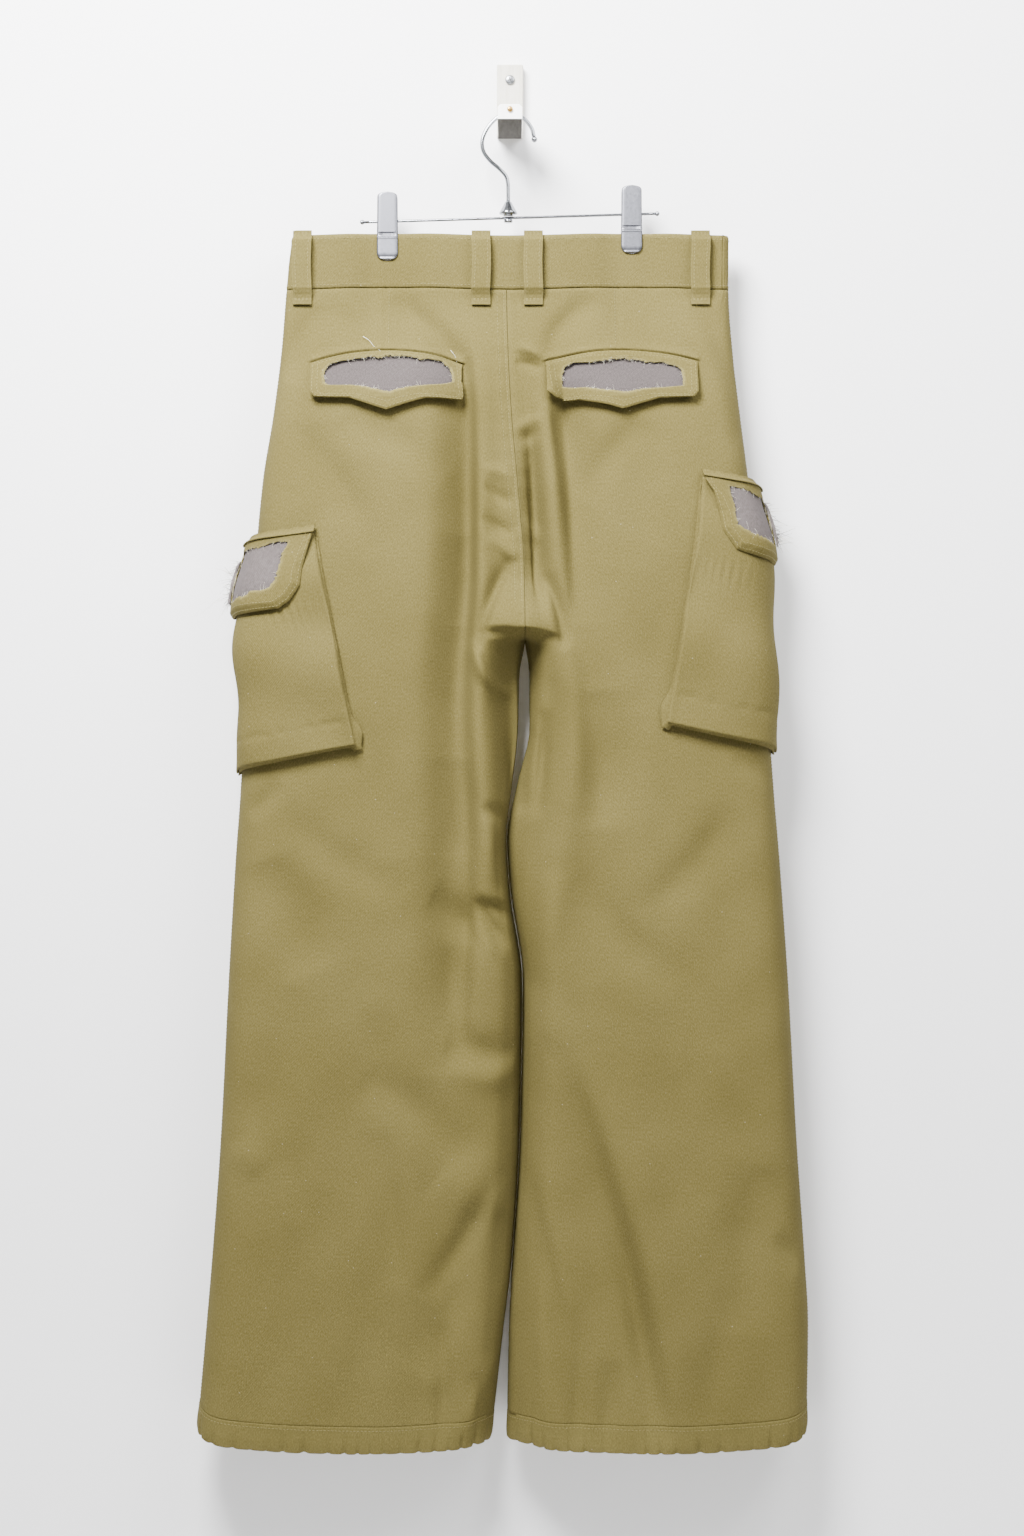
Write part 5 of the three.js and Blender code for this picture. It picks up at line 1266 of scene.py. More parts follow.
def back_flap_pieces(side):
    """A back pocket flap with its torn window, and the lining that shows through it."""
    shape = BACK_FLAPS[side]
    outline = flap_outline(**shape)
    angle = even_angles(outline, FLAP_CENTRE, 400)
    stray = ragged(angle, 1.9, 11 if side == "left" else 12) * (0.35 + 0.65 * (np.sin(angle) > 0.05))
    dx, z, from_edge, from_window = windowed_rings(outline, BACK_WINDOWS[side],
                                                   FLAP_CENTRE, angle, RINGS, stray)
    s = on_back(side, shape["x"] + dx, z)
    pad = LINING + 2 * LAYER
    from_top = mix(shape["top_ends"], shape["top_apex"], 1 - (dx / shape["half"]) ** 2) - z
    tuck = (pad - 0.3) * (1 - smooth(from_top / 5))
    roll = 0.35 * bell((from_edge - 2.2) / 1.6) * smooth((z + 262) / -6)
    pucker = 0.14 * np.sin(np.arange(len(angle)) * 0.7)[None] * bell((from_edge - 4) / 2)
    curl = 0.9 * bell(from_window / 2.2) * (0.6 + 0.6 * noise(8 * np.cos(angle), 8 * np.sin(angle), seed=3))
    soft = 0.5 * noise(dx / 16, z / 9, seed=14) * smooth(from_top / 12)
    under = pad - tuck + curl + flap_stand(z) + soft
    thick = FLAP_CLOTH * (1 - 0.55 * bell(from_window / 1.5)) * (1 - 0.4 * bell(from_edge / 0.7))
    way = inward(side, s, z)
    base = leg(side, s, z)
    outer = base - way * (under + thick + roll + pucker)[..., None]
    for inset in FLAP_ROWS:
        sewn(*ring_line(outer, way, from_edge, inset), 0.05)
    sewn(*ring_line(outer, way, from_window, 1.6, from_inside=True), 0.05)
    upper = np.sin(angle) > 0.1
    # Dark threads only along the window's upper edge: frayed thread, and partly painted shade under that edge
    frayed(f"back_flap_{side}_dark_fray", outer, way, 240, 2.6, 71, "dark_thread", where=upper)
    frayed(f"back_flap_{side}_fray", outer, way, 150, fray_length() * 0.8, 72, "raw_thread", radius=0.12)
    wear = 0.9 * edge_wear(from_window, 1.8)
    uv = np.stack([dx, z], -1)
    flap = cloth_piece(f"back_flap_{side}_cloth", f"back_flap_{side}", outer, base - way * under[..., None],
                       uv, wear, ring=True)
    across, share = np.linspace(-LINING_HALF, LINING_HALF, 70)[None], np.linspace(0, 1, 26)[:, None]
    curve = (across / LINING_HALF) ** 2
    lz = mix(shape["top_apex"] - 3.5 - 10 * curve, -281 + 8 * curve, share)
    lx = across + 0 * lz
    ls = on_back(side, shape["x"] + lx, lz)
    folds = 0.35 * noise(lx / 5, lz / 9, seed=8) - 0.7 * bell(share / 0.25)
    lbase, lway = leg(side, ls, lz), inward(side, ls, lz)
    low = LAYER - 0.2 + 0.85 * flap_stand(lz)
    louter = lbase - lway * (low + LINING + 0.3 + folds)[..., None]
    lining = cloth_piece(f"back_flap_lining_{side}_cloth", f"back_flap_lining_{side}", louter,
                         lbase - lway * low[..., None], np.stack([lx, lz], -1), 0 * lx, "brushed_lining")
    size = ((2 * shape["half"]) * MM, (shape["top_apex"] - shape["point"]) * MM)
    area = cut(np.concatenate([outer, outer[:, :1]], 1))[1]
    lflat, larea = cut(louter)
    return flap, size, area, lining, lflat, larea


# Bellows pockets
POCKET_CLOTH = 1.6
GUSSET_CLOTH = 1.4
BAND_STRIP = 1.2
MOUTH_LIFT = 2.9
FLAP_ABOVE = 7.0
FLAP_RAMP = 5.0
CARGO_LIFT = 9.0
CARGO_BULGE = 4.0
FLAT_LIFT = 3.6
GUSSET_SPREAD = 5.0
CARGO = {
    "left": {"top": -400, "bottom": -587, "along_top": 76, "along_bottom": 128, "width": 200,
             "fall_top": 0.137, "fall_bottom": 0.206, "drop": 74},
    "right": {"top": -350, "bottom": -568, "along_top": 63, "along_bottom": 118, "width": 200,
              "fall_top": 0.17, "fall_bottom": 0.225, "drop": 76},
}
# Outlines of the flaps and their torn windows: round the leg from the side seam, down from the flap's top
CARGO_FLAP = {
    "left": ((76, 0), (72.5, 22), (70, 39), (69.5, 54), (62, 66), (54, 72), (34, 72.5), (14, 72), (-40, 72),
             (-100, 72), (-112, 66), (-121, 56), (-124, 0)),
    "right": ((63, 0), (62, 10), (56.5, 20), (55, 38), (54.5, 54), (46, 70), (30, 73.5), (12, 74), (-40, 74),
              (-110, 74), (-124, 68), (-134, 56), (-137, 0)),
}
CARGO_WINDOW = {
    "left": ((56, 12.5), (51.5, 24), (51.5, 43), (43, 54), (28, 57),
             (10, 60), (3, 60), (3, 13), (10, 14), (28, 13.5)),
    "right": ((43, 13.5), (26, 15), (14, 16.5), (6, 16), (6, 59), (17, 58), (34, 55), (43, 48)),
}
CARGO_CENTRE = {"left": (28.0, 36.0), "right": (24.0, 36.0)}
TORN_AT = {"left": 1.0, "right": 4.0}
TORN_ENDS = {"left": (20.0, 59.0), "right": (18.0, 57.0)}
CARGO_FLAP_FLAT = (204.0, 82.0)
CARGO_FLAP_ROWS = (2.2, 7.4)
POCKET_HEM = 20.0
GATHERED = {"left": 1.1, "right": 0.55}
BAND_DEPTH = 7.0


def pocket_at(side, p, q):
    """A bellows pocket's place: p across from its inner edge to its front edge, q from its mouth down."""
    c = CARGO[side]
    inner = mix(c["along_top"], c["along_bottom"], q)
    w = inner - c["width"] * p
    return w, mix(c["top"], c["bottom"], q) - mix(c["fall_top"], c["fall_bottom"], q) * (inner - np.abs(w))


def pocket_lift(p, q):
    """How far the pocket's face stands off the leg: low at the mouth, bulging, flat at the front."""
    c = np.maximum(0, q)
    full = (mix(MOUTH_LIFT, CARGO_LIFT, smooth(c / 0.25))
            + CARGO_BULGE * np.sin(math.pi * np.clip(p, 0, 1)) ** 0.7
            * np.sin(math.pi * np.clip(c, 0, 1) ** 0.8))
    return mix(full, np.minimum(full, FLAT_LIFT), smooth((p - 0.4) / 0.22))


def pocket_folds(side, p, q):
    """Soft folds in a pocket's face: gathers below the flap, sags, and puckers at its foot."""
    lean = q * 187 + p * 60 * SIGN[side]
    across, down = p * 200, np.sin(math.pi * np.clip(q, 0, 1))
    sag = 2.8 * np.sin(lean / 17 + 2 * p) * down + 1.4 * noise(p * 14, q * 9, seed=21)
    gather = GATHERED[side] * bell((q - 0.37) / 0.05) * bell((p - 0.13) / 0.1) * np.sin(across / 1.1)
    foot = 0.4 * bell((q - 0.88) / 0.02) * np.sin(across / 3.3
                                                  + np.sin(p * 40)) - 0.5 * bell((q - 0.885) / 0.012)
    edge = 0.5 * smooth(1 - p / 0.04)
    held = smooth(p / 0.012) * smooth((1 - p) / 0.02) * smooth((0.55 - p) / 0.1 + 0.4)
    return (sag + gather + foot + edge) * held


def flap_place(side, w, down):
    """Where a point of a cargo flap lies, and how far it stands off: over the mouth, from a line above."""
    c = CARGO[side]
    p = (c["along_top"] - w) / c["width"]
    mouth = pocket_at(side, p, 0)[1]
    z = mouth + FLAP_ABOVE - down
    q = (mouth - z) / (c["top"] - c["bottom"])
    on_face = smooth((mouth + FLAP_RAMP - z) / FLAP_RAMP)
    lift = on_face * (pocket_lift(np.clip(p, 0.02, 0.98), q) + POCKET_CLOTH + 1.4)
    return around_leg(side, w, z), z, lift


def cloth_on(side, s, z, low, high):
    """Outer and inner skins that stand off the leg's cloth by high and low."""
    way, base = inward(side, s, z), leg(side, s, z)
    high, low = (np.broadcast_to(np.asarray(v, float), base.shape[:-1]) for v in (high, low))
    return base - way * high[..., None], base - way * low[..., None]


def cargo_pocket_pieces(side):
    """A bellows pocket: its face, and the pleated gusset round three of its sides."""
    c = CARGO[side]
    height = c["top"] - c["bottom"]
    p = np.concatenate([np.linspace(0, 0.06, 12)[:-1], np.linspace(0.06, 0.6, 76)[:-1],
                        np.linspace(0.6, 1, 22)])
    q = np.concatenate([np.linspace(0, 0.3, 22)[:-1], np.linspace(0.3, 0.94, 54)[:-1],
                        np.linspace(0.94, 1, 10)])
    p, q = np.broadcast_arrays(p[None], q[:, None])
    w, z = pocket_at(side, p, q)
    s = around_leg(side, w, z)
    fold = pocket_folds(side, p, q)
    turned = np.minimum.reduce([p * c["width"], (1 - p) * c["width"], (1 - q) * height])
    low = pocket_lift(p, q) + fold
    outer, inner = cloth_on(side, s, z, low + POCKET_CLOTH * (1 - 0.35 * bell(turned / 0.8)), low)
    way = inward(side, s, z)
    hem_row = np.argmin(np.abs(q[:, 0] - (1 - POCKET_HEM / height)))
    sewn(outer[hem_row], -way[hem_row], 0.05)
    sewn(outer[:hem_row, 5], -way[:hem_row, 5], 0.05)
    face = cloth_piece(f"cargo_pocket_{side}", f"cargo_face_{side}", outer, inner, np.stack([w, z], -1),
                       0.1 * edge_wear(turned, 2.2))
    face_cut = cut(outer)
    down, corner, run = np.linspace(0.02, 0.97, 60), np.linspace(0.25, 1, 4), np.linspace(0.012, 0.988, 110)
    up = np.linspace(0.97, 0.02, 40)
    steps = (
        (0 * down, down, 0 * down - 1, 0 * down),
        (0 * corner, 0 * corner + 1, 0 * corner - 1, corner),
        (run, 0 * run + 1, 0 * run, 0 * run + 1),
        (np.ones(1), np.ones(1), np.ones(1), np.ones(1)),
        (0 * up + 1, up, 0 * up + 1, 0 * up),
    )
    gp, gq, op, oq = (np.concatenate(column) for column in zip(*steps))
    rise = np.linspace(0, 1, 11)[:, None]
    spread = np.interp(rise, [0, 0.2, 0.45, 0.7, 1], [1.2, 0.9, 0.45, 0.1, -0.3])
    spread = np.where(op == -1, spread * (0.3 + 1.1 * bell((gq - 0.95) / 0.06)), spread)
    crumple = 0.25 * noise(gp[None] * 30, gq[None] * 26, rise * 3, seed=31) * np.sin(math.pi * rise)

    def strip(inset, extra):
        go = (spread + crumple - inset) * (1 - 0.7 * oq * (gp > 0.02))
        gw, gz = pocket_at(side, gp + op * GUSSET_SPREAD / c["width"] * go,
                           gq + oq * GUSSET_SPREAD / height * go)
        head = pocket_lift(gp, gq) - LAYER - 0.3 - GUSSET_CLOTH
        gs = around_leg(side, gw, gz)
        return off(side, gs, gz, mix(LAYER + 0.9, head, rise) + extra), gw, gz
    outside, gw, gz = strip(0, GUSSET_CLOTH)
    inside = strip(0.24, 0)[0]
    gusset = cloth_piece(f"cargo_gusset_{side}_cloth", f"cargo_gusset_{side}", outside, inside,
                         np.stack([gw, gz], -1), 0 * gw)
    return (face, *face_cut), (gusset, *cut(outside))


ON_CARGO_FLAP = LINING + 3 * LAYER + FLAP_CLOTH + 0.95


def cargo_flap(side):
    """A cargo flap with its torn window, standing off the pocket's face."""
    outline, window, centre = CARGO_FLAP[side], CARGO_WINDOW[side], CARGO_CENTRE[side]
    angle = even_angles(outline, centre, 400)
    stray = ragged(angle, 1.8, 41 if side == "left" else 43)
    share = np.array([0, 0.01, 0.03, 0.07, 0.12, 0.18, 0.26, 0.35,
                      0.45, 0.55, 0.66, 0.77, 0.87, 0.94, 0.98, 1.0])
    w, down, from_edge, from_window = windowed_rings(outline, window, centre, angle, share, stray)
    down = np.maximum(down, 0)
    s, z, lift = flap_place(side, w, down)
    pad = LINING + 2 * LAYER + 0.75
    free = smooth((down - 20) / 20)
    droop = (pad + 1.0) * (1 - smooth(from_edge / 7)) * free * 0.75
    lip = 0.35 * bell((from_edge - 1.6) / 1.2)
    pucker = 0.2 * np.sin(np.arange(len(angle)) * 0.8)[None] * bell((from_edge - 3) / 2)
    curl = 0.9 * bell(from_window / 2.5) * (0.5 + 0.5 * noise(7 * np.cos(angle), 7 * np.sin(angle), seed=9))
    soft = 0.4 * noise(w / 11, down / 9, seed=13) * smooth(from_edge / 8)
    under = lift + pad - droop + 0.6 * curl
    thick = FLAP_CLOTH * (1 - 0.5 * bell(from_window / 1.4)) * (1 - 0.4 * bell(from_edge / 0.8))
    way = inward(side, s, z)
    inner = leg(side, s, z) - way * under[..., None]
    outer = inner - way * (thick + lip + pucker + soft)[..., None]
    for inset in CARGO_FLAP_ROWS:
        sewn(*ring_line(outer, way, from_edge, inset), 0.05)
    # Dark threads only along the window's upper edge: frayed thread, and partly painted shade under that edge
    upper = np.sin(angle) < -0.1
    frayed(f"cargo_flap_{side}_dark_fray", outer, way, 150, 2.4, 73, "dark_thread", where=upper)
    frayed(f"cargo_flap_{side}_fray", outer, way, 130, fray_length(), 74, "raw_thread", radius=0.12)
    wear = 0.8 * edge_wear(from_window, 1.8)
    flap = cloth_piece(f"cargo_flap_{side}_cloth", f"cargo_flap_{side}", outer, inner, np.stack([w, z], -1),
                       wear, ring=True)
    flat = tuple(v * MM for v in CARGO_FLAP_FLAT)
    return flap, flat, cut(np.concatenate([outer, outer[:, :1]], 1))[1]


def cargo_flap_lining(side):
    """The grey lining behind a cargo flap's torn window."""
    hole_w = [point[0] for point in CARGO_WINDOW[side]]
    lw = np.linspace(max(hole_w) + 3, min(hole_w) - 14, 60)[None]
    ld = np.linspace(3, CARGO[side]["drop"] - 11, 52)[:, None]
    lw, ld = np.broadcast_arrays(lw, ld)
    ls, lz, llift = flap_place(side, lw, ld)
    folds = 0.45 * noise(lw / 4, ld / 9, seed=17)
    high = llift + LAYER + 0.75 + LINING + 0.3 + folds
    louter, linner = cloth_on(side, ls, lz, high, llift + LAYER + 0.55)
    lining = cloth_piece(f"cargo_flap_lining_{side}_cloth", f"cargo_flap_lining_{side}", louter, linner,
                         np.stack([lw, lz], -1), 0.25 + 0 * lw, "brushed_lining")
    return (lining, *cut(louter))


def cargo_flap_band(side):
    """The raised band along a cargo flap's top."""
    c = CARGO[side]
    bw = np.linspace(c["along_top"], c["along_top"] - c["width"], 150)[None]
    bd = np.array([-0.6, -0.3, 0.3, 1.5, 3.2, 5.0, 6.2, 6.8, 7.0])[:, None]
    bw, bd = np.broadcast_arrays(bw, bd)
    bs, bz, blift = flap_place(side, bw, np.maximum(0, bd))
    rounded = 0.45 * np.sin(math.pi * np.clip(bd / BAND_DEPTH, 0, 1))
    crown = rounded + 0.15 * np.sin(bw / 1.8) * bell((bd - 1.5) / 1.2)
    low = blift + ON_CARGO_FLAP - 0.5
    high = low + 0.5 + BAND_STRIP * (1 - 0.5 * bell((bd - BAND_DEPTH) / 0.7)) + crown
    bouter, binner = cloth_on(side, bs, bz, high, low)
    band = cloth_piece(f"cargo_flap_band_{side}_cloth", f"cargo_flap_band_{side}", bouter, binner,
                       np.stack([bw, bz], -1), 0.15 * edge_wear(BAND_DEPTH - bd, 1.6))
    return (band, *cut(bouter))


def cargo_torn_edge(side):
    """The rolled torn edge beside a cargo flap's window, with its tangled threads."""
    top, bottom = TORN_ENDS[side]
    rd = np.linspace(top, bottom, 90)[:, None]
    turn = np.linspace(-1, 1, 13)[None]
    wobble = 0.7 * noise(rd / 7, seed=51) + 0.5 * noise(rd / 2.4, seed=52)
    rw = TORN_AT[side] - 1.2 + wobble + turn * (2.1 + 0.5 * noise(rd / 5, seed=53))
    rdown = rd + 0 * rw
    rs, rz, rlift = flap_place(side, rw, rdown)
    crest = 2.0 * np.sqrt(np.clip(1 - turn ** 2, 0, 1)) * (1 + 0.25 * noise(rd / 3, turn * 2, seed=54))
    ends = smooth((rd - top) / 3) * smooth((bottom - rd) / 3)
    base = rlift + ON_CARGO_FLAP - 0.6
    router, rinner = cloth_on(side, rs, rz, base + 0.35 + crest * ends, base + 0 * rw)
    torn = cloth_piece(f"cargo_torn_edge_{side}_cloth", f"cargo_torn_edge_{side}", router, rinner,
                       np.stack([rw, rz], -1), 0.6 + 0.4 * bell(turn / 0.5) + 0 * rw, "brushed_lining")
    roll, roll_out = router[:, 6], -inward(side, rs, rz)[:, 6]
    tangle(f"cargo_torn_edge_{side}_dark_threads", roll, roll_out, 150, 9, 75, "dark_thread", 0.2)
    tangle(f"cargo_torn_edge_{side}_pale_threads", roll, roll_out, 70, 14, 76, "raw_thread")
    return (torn, *cut(router))


def fly_piece():
    """The fly placket, lying on the left front beside the centre front."""
    dx = np.concatenate([np.linspace(1.5, 4, 5)[:-1], np.linspace(4, 38, 20)])[None]
    z = np.linspace(WAIST_SEAM - 1.5, WAIST_SEAM - 165, 60)[:, None]
    edge = leg("left", -FRONT_END + 0 * z, z)[..., 0]
    s = on_front("left", edge - dx, z + 0 * dx)
    z = z + 0 * dx
    outer, inner = cloth_on("left", s, z, LAYER + 1.4 + 0.15 * noise(dx / 9, z / 12, seed=61), LAYER)
    piece = cloth_piece("fly_placket_cloth", "fly_placket", outer, inner, np.stack([edge - dx, z], -1),
                        edge_wear(dx - 1.5, 2.0) + 0 * z)
    return (piece, *cut(outer))


# Stitching and loose threads
def leg_line(side, s, z, lift):
    """A line on the leg's cloth for stitches, and the ways out of the cloth along it."""
    s, z = np.broadcast_arrays(np.asarray(s, float), np.asarray(z, float))
    way = -inward(side, s, z)
    return leg(side, s, z) + way * np.asarray(lift, float)[..., None], way


SEAT_ROWS = (2.6, 8.6)
DART_ROW = 3.2
BAND_ROWS = (WAIST_TOP - 4.0, WAIST_SEAM + 3.6)
LOOP_ROWS = (-5.6, 5.6)
LOOP_TACKS = (2.2, 3.4, 61.6, 62.8)


def seam_stitches():
    """The seat seam's two rows, the darts', the side seams', and the rows near the waistband's edges."""
    runs = []
    z = np.linspace(WAIST_SEAM - 2, -462, 160)
    for distance in SEAT_ROWS:
        s = on_back("left", at(LEGS["left"], "inner", z) - distance, z)
        runs.append(leg_line("left", s, z, 0.62))
    for side in SIDES:
        z = np.linspace(WAIST_SEAM - 2, -229, 30)
        runs.append(leg_line(side, on_back(side, DARTS[side] + SIGN[side] * DART_ROW, z), z, 0.4))
        z = np.linspace(WAIST_SEAM - 2, HEM_SEAM + 3, 420)
        runs.append(leg_line(side, around_leg(side, 3.0 + 0 * z, z), z, 0.1))
        for z_line in BAND_ROWS:
            for low, high in ((-6.2, -1.0), (-1.0, 9.97)):
                s = np.linspace(low, high, 260)
                line, way = leg_line(side, s, z_line + 0 * s, 0.2)
                clear = np.abs(np.abs(line[:, 0]) - CLIP_AT) > 12.5
                for part in np.split(np.arange(len(s)), np.nonzero(np.diff(clear))[0] + 1):
                    if clear[part[0]] and len(part) > 4:
                        runs.append((line[part], way[part]))
    return runs


def loop_stitches():
    """Two rows along each belt loop and bar tacks across its ends."""
    runs = []
    for _, x, face, fit in LOOPS:
        out = np.array([0, FACING[face], 0])
        down = np.linspace(9, 52, 60)
        for dx in LOOP_ROWS:
            line = loop_surface(x, face, fit, down, dx)
            runs.append((line, np.broadcast_to(out, line.shape)))
        for end in LOOP_TACKS:
            across = np.linspace(-7.4, 7.4, 12)
            line = loop_surface(x, face, fit, end, across)
            runs.append((line, np.broadcast_to(out, line.shape)))
    return runs


LOOSE_THREADS = (
    ((-131.9, -222.3), (-126.5, -226), (-122, -231), (-117.5, -234.2), (-114, -238.5)),
    ((-53, -233), (-49, -238), (-47.5, -244)),
)


def loose_threads():
    """Single pale threads that lie on the left yoke."""
    for number, line in enumerate(LOOSE_THREADS):
        path = spline([(x, 0, z) for x, z in line], 24)
        s = on_back("left", path[:, 0], path[:, 2])
        points = off("left", s, path[:, 2], 2.2 + 0.5 * np.sin(np.linspace(0, 7, 24)))
        threads(f"loose_thread_{number}", points[None], [0.26], "raw_thread")


# Hanger and hook
HOOK_XZ = (
    (21.6, -38.5), (19.8, -31.5), (15.8, -25.4), (10.8, -20.8), (5, -19),
    (0, -18.8), (-5, -19), (-10.8, -20.8),
    (-18, -27.5), (-23, -35.5), (-25.2, -44), (-23.6, -52.5), (-17.6, -60.5),
    (-9.9, -67.2), (-4, -73.6), (-2, -80),
    (-1.7, -88), (-1.6, -97.1),
)
HOOK_RADIUS = 1.8
STEM_X = -1.6
FERRULE = ((0, 97.3), (2.6, 97.3), (3.1, 97.8), (3.4, 98.6),
           (4.2, 100), (6.2, 103.6), (7.7, 106.3), (8.1, 107.1),
           (8.1, 108.1), (7.6, 108.5), (4.6, 108.7), (4.4, 109), (4.4, 110.1), (0, 110.1))
ROD = {"left": (-131.5, -115.6), "right": (131.0, -107.9), "radius": 1.25, "tip": 2.2}
SPRING = {"turns": 6.5, "radius": 2.9, "wire": 0.62}
PLATE = {"width": 24.0, "thickness": 10.0, "height": 66.0, "screw": 4.25, "screw_z": 18.6}
ARM = {"width": 22.0, "height": 13.4, "chamfer": 2.5, "top": -21.8,
       "end": 88.0, "screw": 2.5, "screw_z": -26.4}


def spline(points, steps):
    """A smooth path through points: cubics between each two, tangent to the chord of their neighbours."""
    p = np.asarray(points, float)
    whole = np.concatenate([[2 * p[0] - p[1]], p, [2 * p[-1] - p[-2]]])
    u = np.linspace(0, len(p) - 1, steps)
    i = np.clip(u.astype(int), 0, len(p) - 2)
    t = (u - i)[:, None]
    a, b, c, d = whole[i], whole[i + 1], whole[i + 2], whole[i + 3]
    return b + 0.5 * t * (c - a + t * (2 * a - 5 * b + 4 * c - d + t * (3 * (b - c) + d - a)))


def ball(radius, centre, axis=(0, 0, 1), rings=14):
    """A sphere as a turned half circle."""
    a = np.linspace(-math.pi / 2, math.pi / 2, rings)
    return lathe(np.stack([radius * np.cos(a), radius * np.sin(a)], -1), centre, axis, 24)


def hanger_pieces():
    """The wire hook with its ball tip, the conical ferrule and nut, and the rod with a ball at each end."""
    path = spline([(x, HANGER_Y, z) for x, z in HOOK_XZ], 170)
    points, faces = tube(path, HOOK_RADIUS, 20)
    made = [("hanger_hook_wire", points, faces, ["hanger_hook"])]
    tip = (HOOK_XZ[0][0] + 0.4, HANGER_Y, HOOK_XZ[0][1] - HOOK_RADIUS - 0.6)
    made.append(("hanger_hook_ball", *ball(HOOK_RADIUS + 0.9, tip), ["hanger_hook_tip"]))
    ferrule = [(r, -z) for r, z in FERRULE][::-1]
    made.append(("hanger_cone", *lathe(ferrule, (STEM_X, HANGER_Y, 0), (0, 0, 1), 48), ["hanger_ferrule"]))
    left, right = np.array(ROD["left"]), np.array(ROD["right"])
    rod = [(x, HANGER_Y, mix(left[1], right[1], (x - left[0]) / (right[0] - left[0])))
           for x in np.linspace(left[0], right[0], 40)]
    made.append(("hanger_rod_wire", *tube(rod, ROD["radius"], 16), ["hanger_rod"]))
    nut_top = mix(left[1], right[1], (STEM_X - left[0]) / (right[0] - left[0])) - ROD["radius"] - 0.35
    nut = [(0, nut_top - 2.6), (3.4, nut_top - 2.6), (4.0, nut_top - 2.1),
           (4.0, nut_top - 0.5), (3.6, nut_top),
           (0, nut_top)]
    made.append(("hanger_lock_nut", *lathe(nut, (STEM_X, HANGER_Y, 0), (0, 0, 1), 32), ["hanger_nut"]))
    for side, sign, (x, z) in (("left", -1, ROD["left"]), ("right", 1, ROD["right"])):
        centre = (x + sign * (ROD["tip"] - 0.4), HANGER_Y, z)
        made.append((f"hanger_rod_ball_{side}", *ball(ROD["tip"], centre, (1, 0, 0)),
                     [f"hanger_rod_tip_{side}"]))
    for name, points, faces, nodes in made:
        new_piece(name, points, faces, "chrome_wire", "chrome", nodes)


def jaw_half(down):
    """Half a jaw's width at a distance from its top: a low arch, and a rounded foot."""
    half = CLIP_WIDTH / 2 * mix(0.95, 1.0, smooth(down / CLIP_HEIGHT))
    arch = np.clip(1 - (1 - np.clip(down / 4.5, 0, 1)) ** 2.4, 0, 1) ** 0.5
    foot = np.clip(1 - np.clip((down - CLIP_HEIGHT + 7) / 7, 0, 1) ** 2.4, 0, 1) ** 0.5
    return half * arch * foot


def clip_pieces():
    """The two clips: sheet-steel jaws with turned edges and a lip, and a coil spring."""
    left, right = ROD["left"], ROD["right"]
    for index, side in enumerate(SIDES):
        x0, top = CLIP_X[index], CLIP_TOP[index]
        grip = WAIST_TOP - 4
        near = leg(side, on_back(side, x0, grip), grip, fine=False)[1] - JAW_GAP
        far = leg(side, on_front(side, x0, grip), grip, fine=False)[1] + JAW_GAP
        down = np.concatenate([[0.02, 0.1, 0.3, 0.7, 1.3, 2.2, 3.4, 5, 8], np.linspace(12, 35, 8),
                               np.linspace(35.8, 43, 25), np.linspace(44.5, 58, 9),
                               np.linspace(58.5, 61.9, 14),
                               [61.99]])[:, None]
        u = np.array([-1, -0.97, -0.9, -0.8, -0.6, -0.35, 0, 0.35, 0.6, 0.8, 0.9, 0.97, 1])[None]
        x, z = x0 + u * jaw_half(down), top - down + 0 * u
        edge = np.minimum((1 - np.abs(u)) * jaw_half(down), CLIP_HEIGHT - down)
        turned = 0.9 * smooth(edge / 1.2)
        cheek = 0.8 * smooth((down - 40) / 3) * smooth((60 - down) / 3)
        lip = 0.9 * bell((down - 60.2) / 1.0) + 0.7 * bell((down - 41.2) / 0.9)
        window = np.minimum(smooth((7.0 - np.abs(x - x0)) / 0.5), smooth((1.5 - np.abs(down - 38)) / 0.4))
        out = CLIP_SHEET - 0.9 + turned + cheek + lip - 1.3 * window
        for name, y, sign in (("near", near, -1), ("far", far, 1)):
            outer = np.stack([x, y + sign * out, z], -1)
            inner = np.stack([x, y + 0 * x, z], -1)
            points, faces, *_ = shell(outer, inner)
            new_piece(f"clip_{side}_{name}_jaw", points, faces, "clip_steel", "sheet_steel",
                      [f"clip_{side}_{name}"])
        z_rod = mix(left[1], right[1], (x0 - left[0]) / (right[0] - left[0]))
        a = np.linspace(0, 2 * math.pi * SPRING["turns"], 200)
        coil = np.stack([x0 - 6 + 12 * a / a[-1], HANGER_Y + SPRING["radius"] * np.cos(a),
                         z_rod + SPRING["radius"] * np.sin(a)], -1)
        points, faces = tube(coil, SPRING["wire"], 8)
        new_piece(f"clip_{side}_coil", points, faces, "clip_steel", "sheet_steel",
                  [f"clip_{side}_spring"])


def block(low, high):
    """A plain box's points and faces."""
    corners = np.array([[x, y, z] for x in (low[0], high[0]) for y in (low[1], high[1])
                        for z in (low[2], high[2])])
    faces = [[0, 1, 3, 2], [4, 6, 7, 5], [0, 4, 5, 1], [2, 3, 7, 6], [0, 2, 6, 4], [1, 5, 7, 3]]
    return corners, faces


def softened(piece, width, segments=3):
    """A bevel on a piece's hard edges."""
    bevel = piece.modifiers.new("Bevel", "BEVEL")
    bevel.width, bevel.segments = width * MM, segments
    bevel.limit_method = "ANGLE"
    return piece


def screw_head(radius, height, y, z):
    """A pan head on the Y axis: a low dome with a rounded rim."""
    a = np.linspace(0, math.pi / 2, 8)
    dome = [(radius * math.sin(t), height * (0.45 + 0.55 * math.cos(t) ** 0.8 if t < 1.57 else 0.45))
            for t in a]
    profile = dome + [(radius, 0.25 * height), (radius * 0.97, 0.0), (0, 0)]
    return lathe(profile[::-1], (0, y, z), (0, -1, 0), 40)


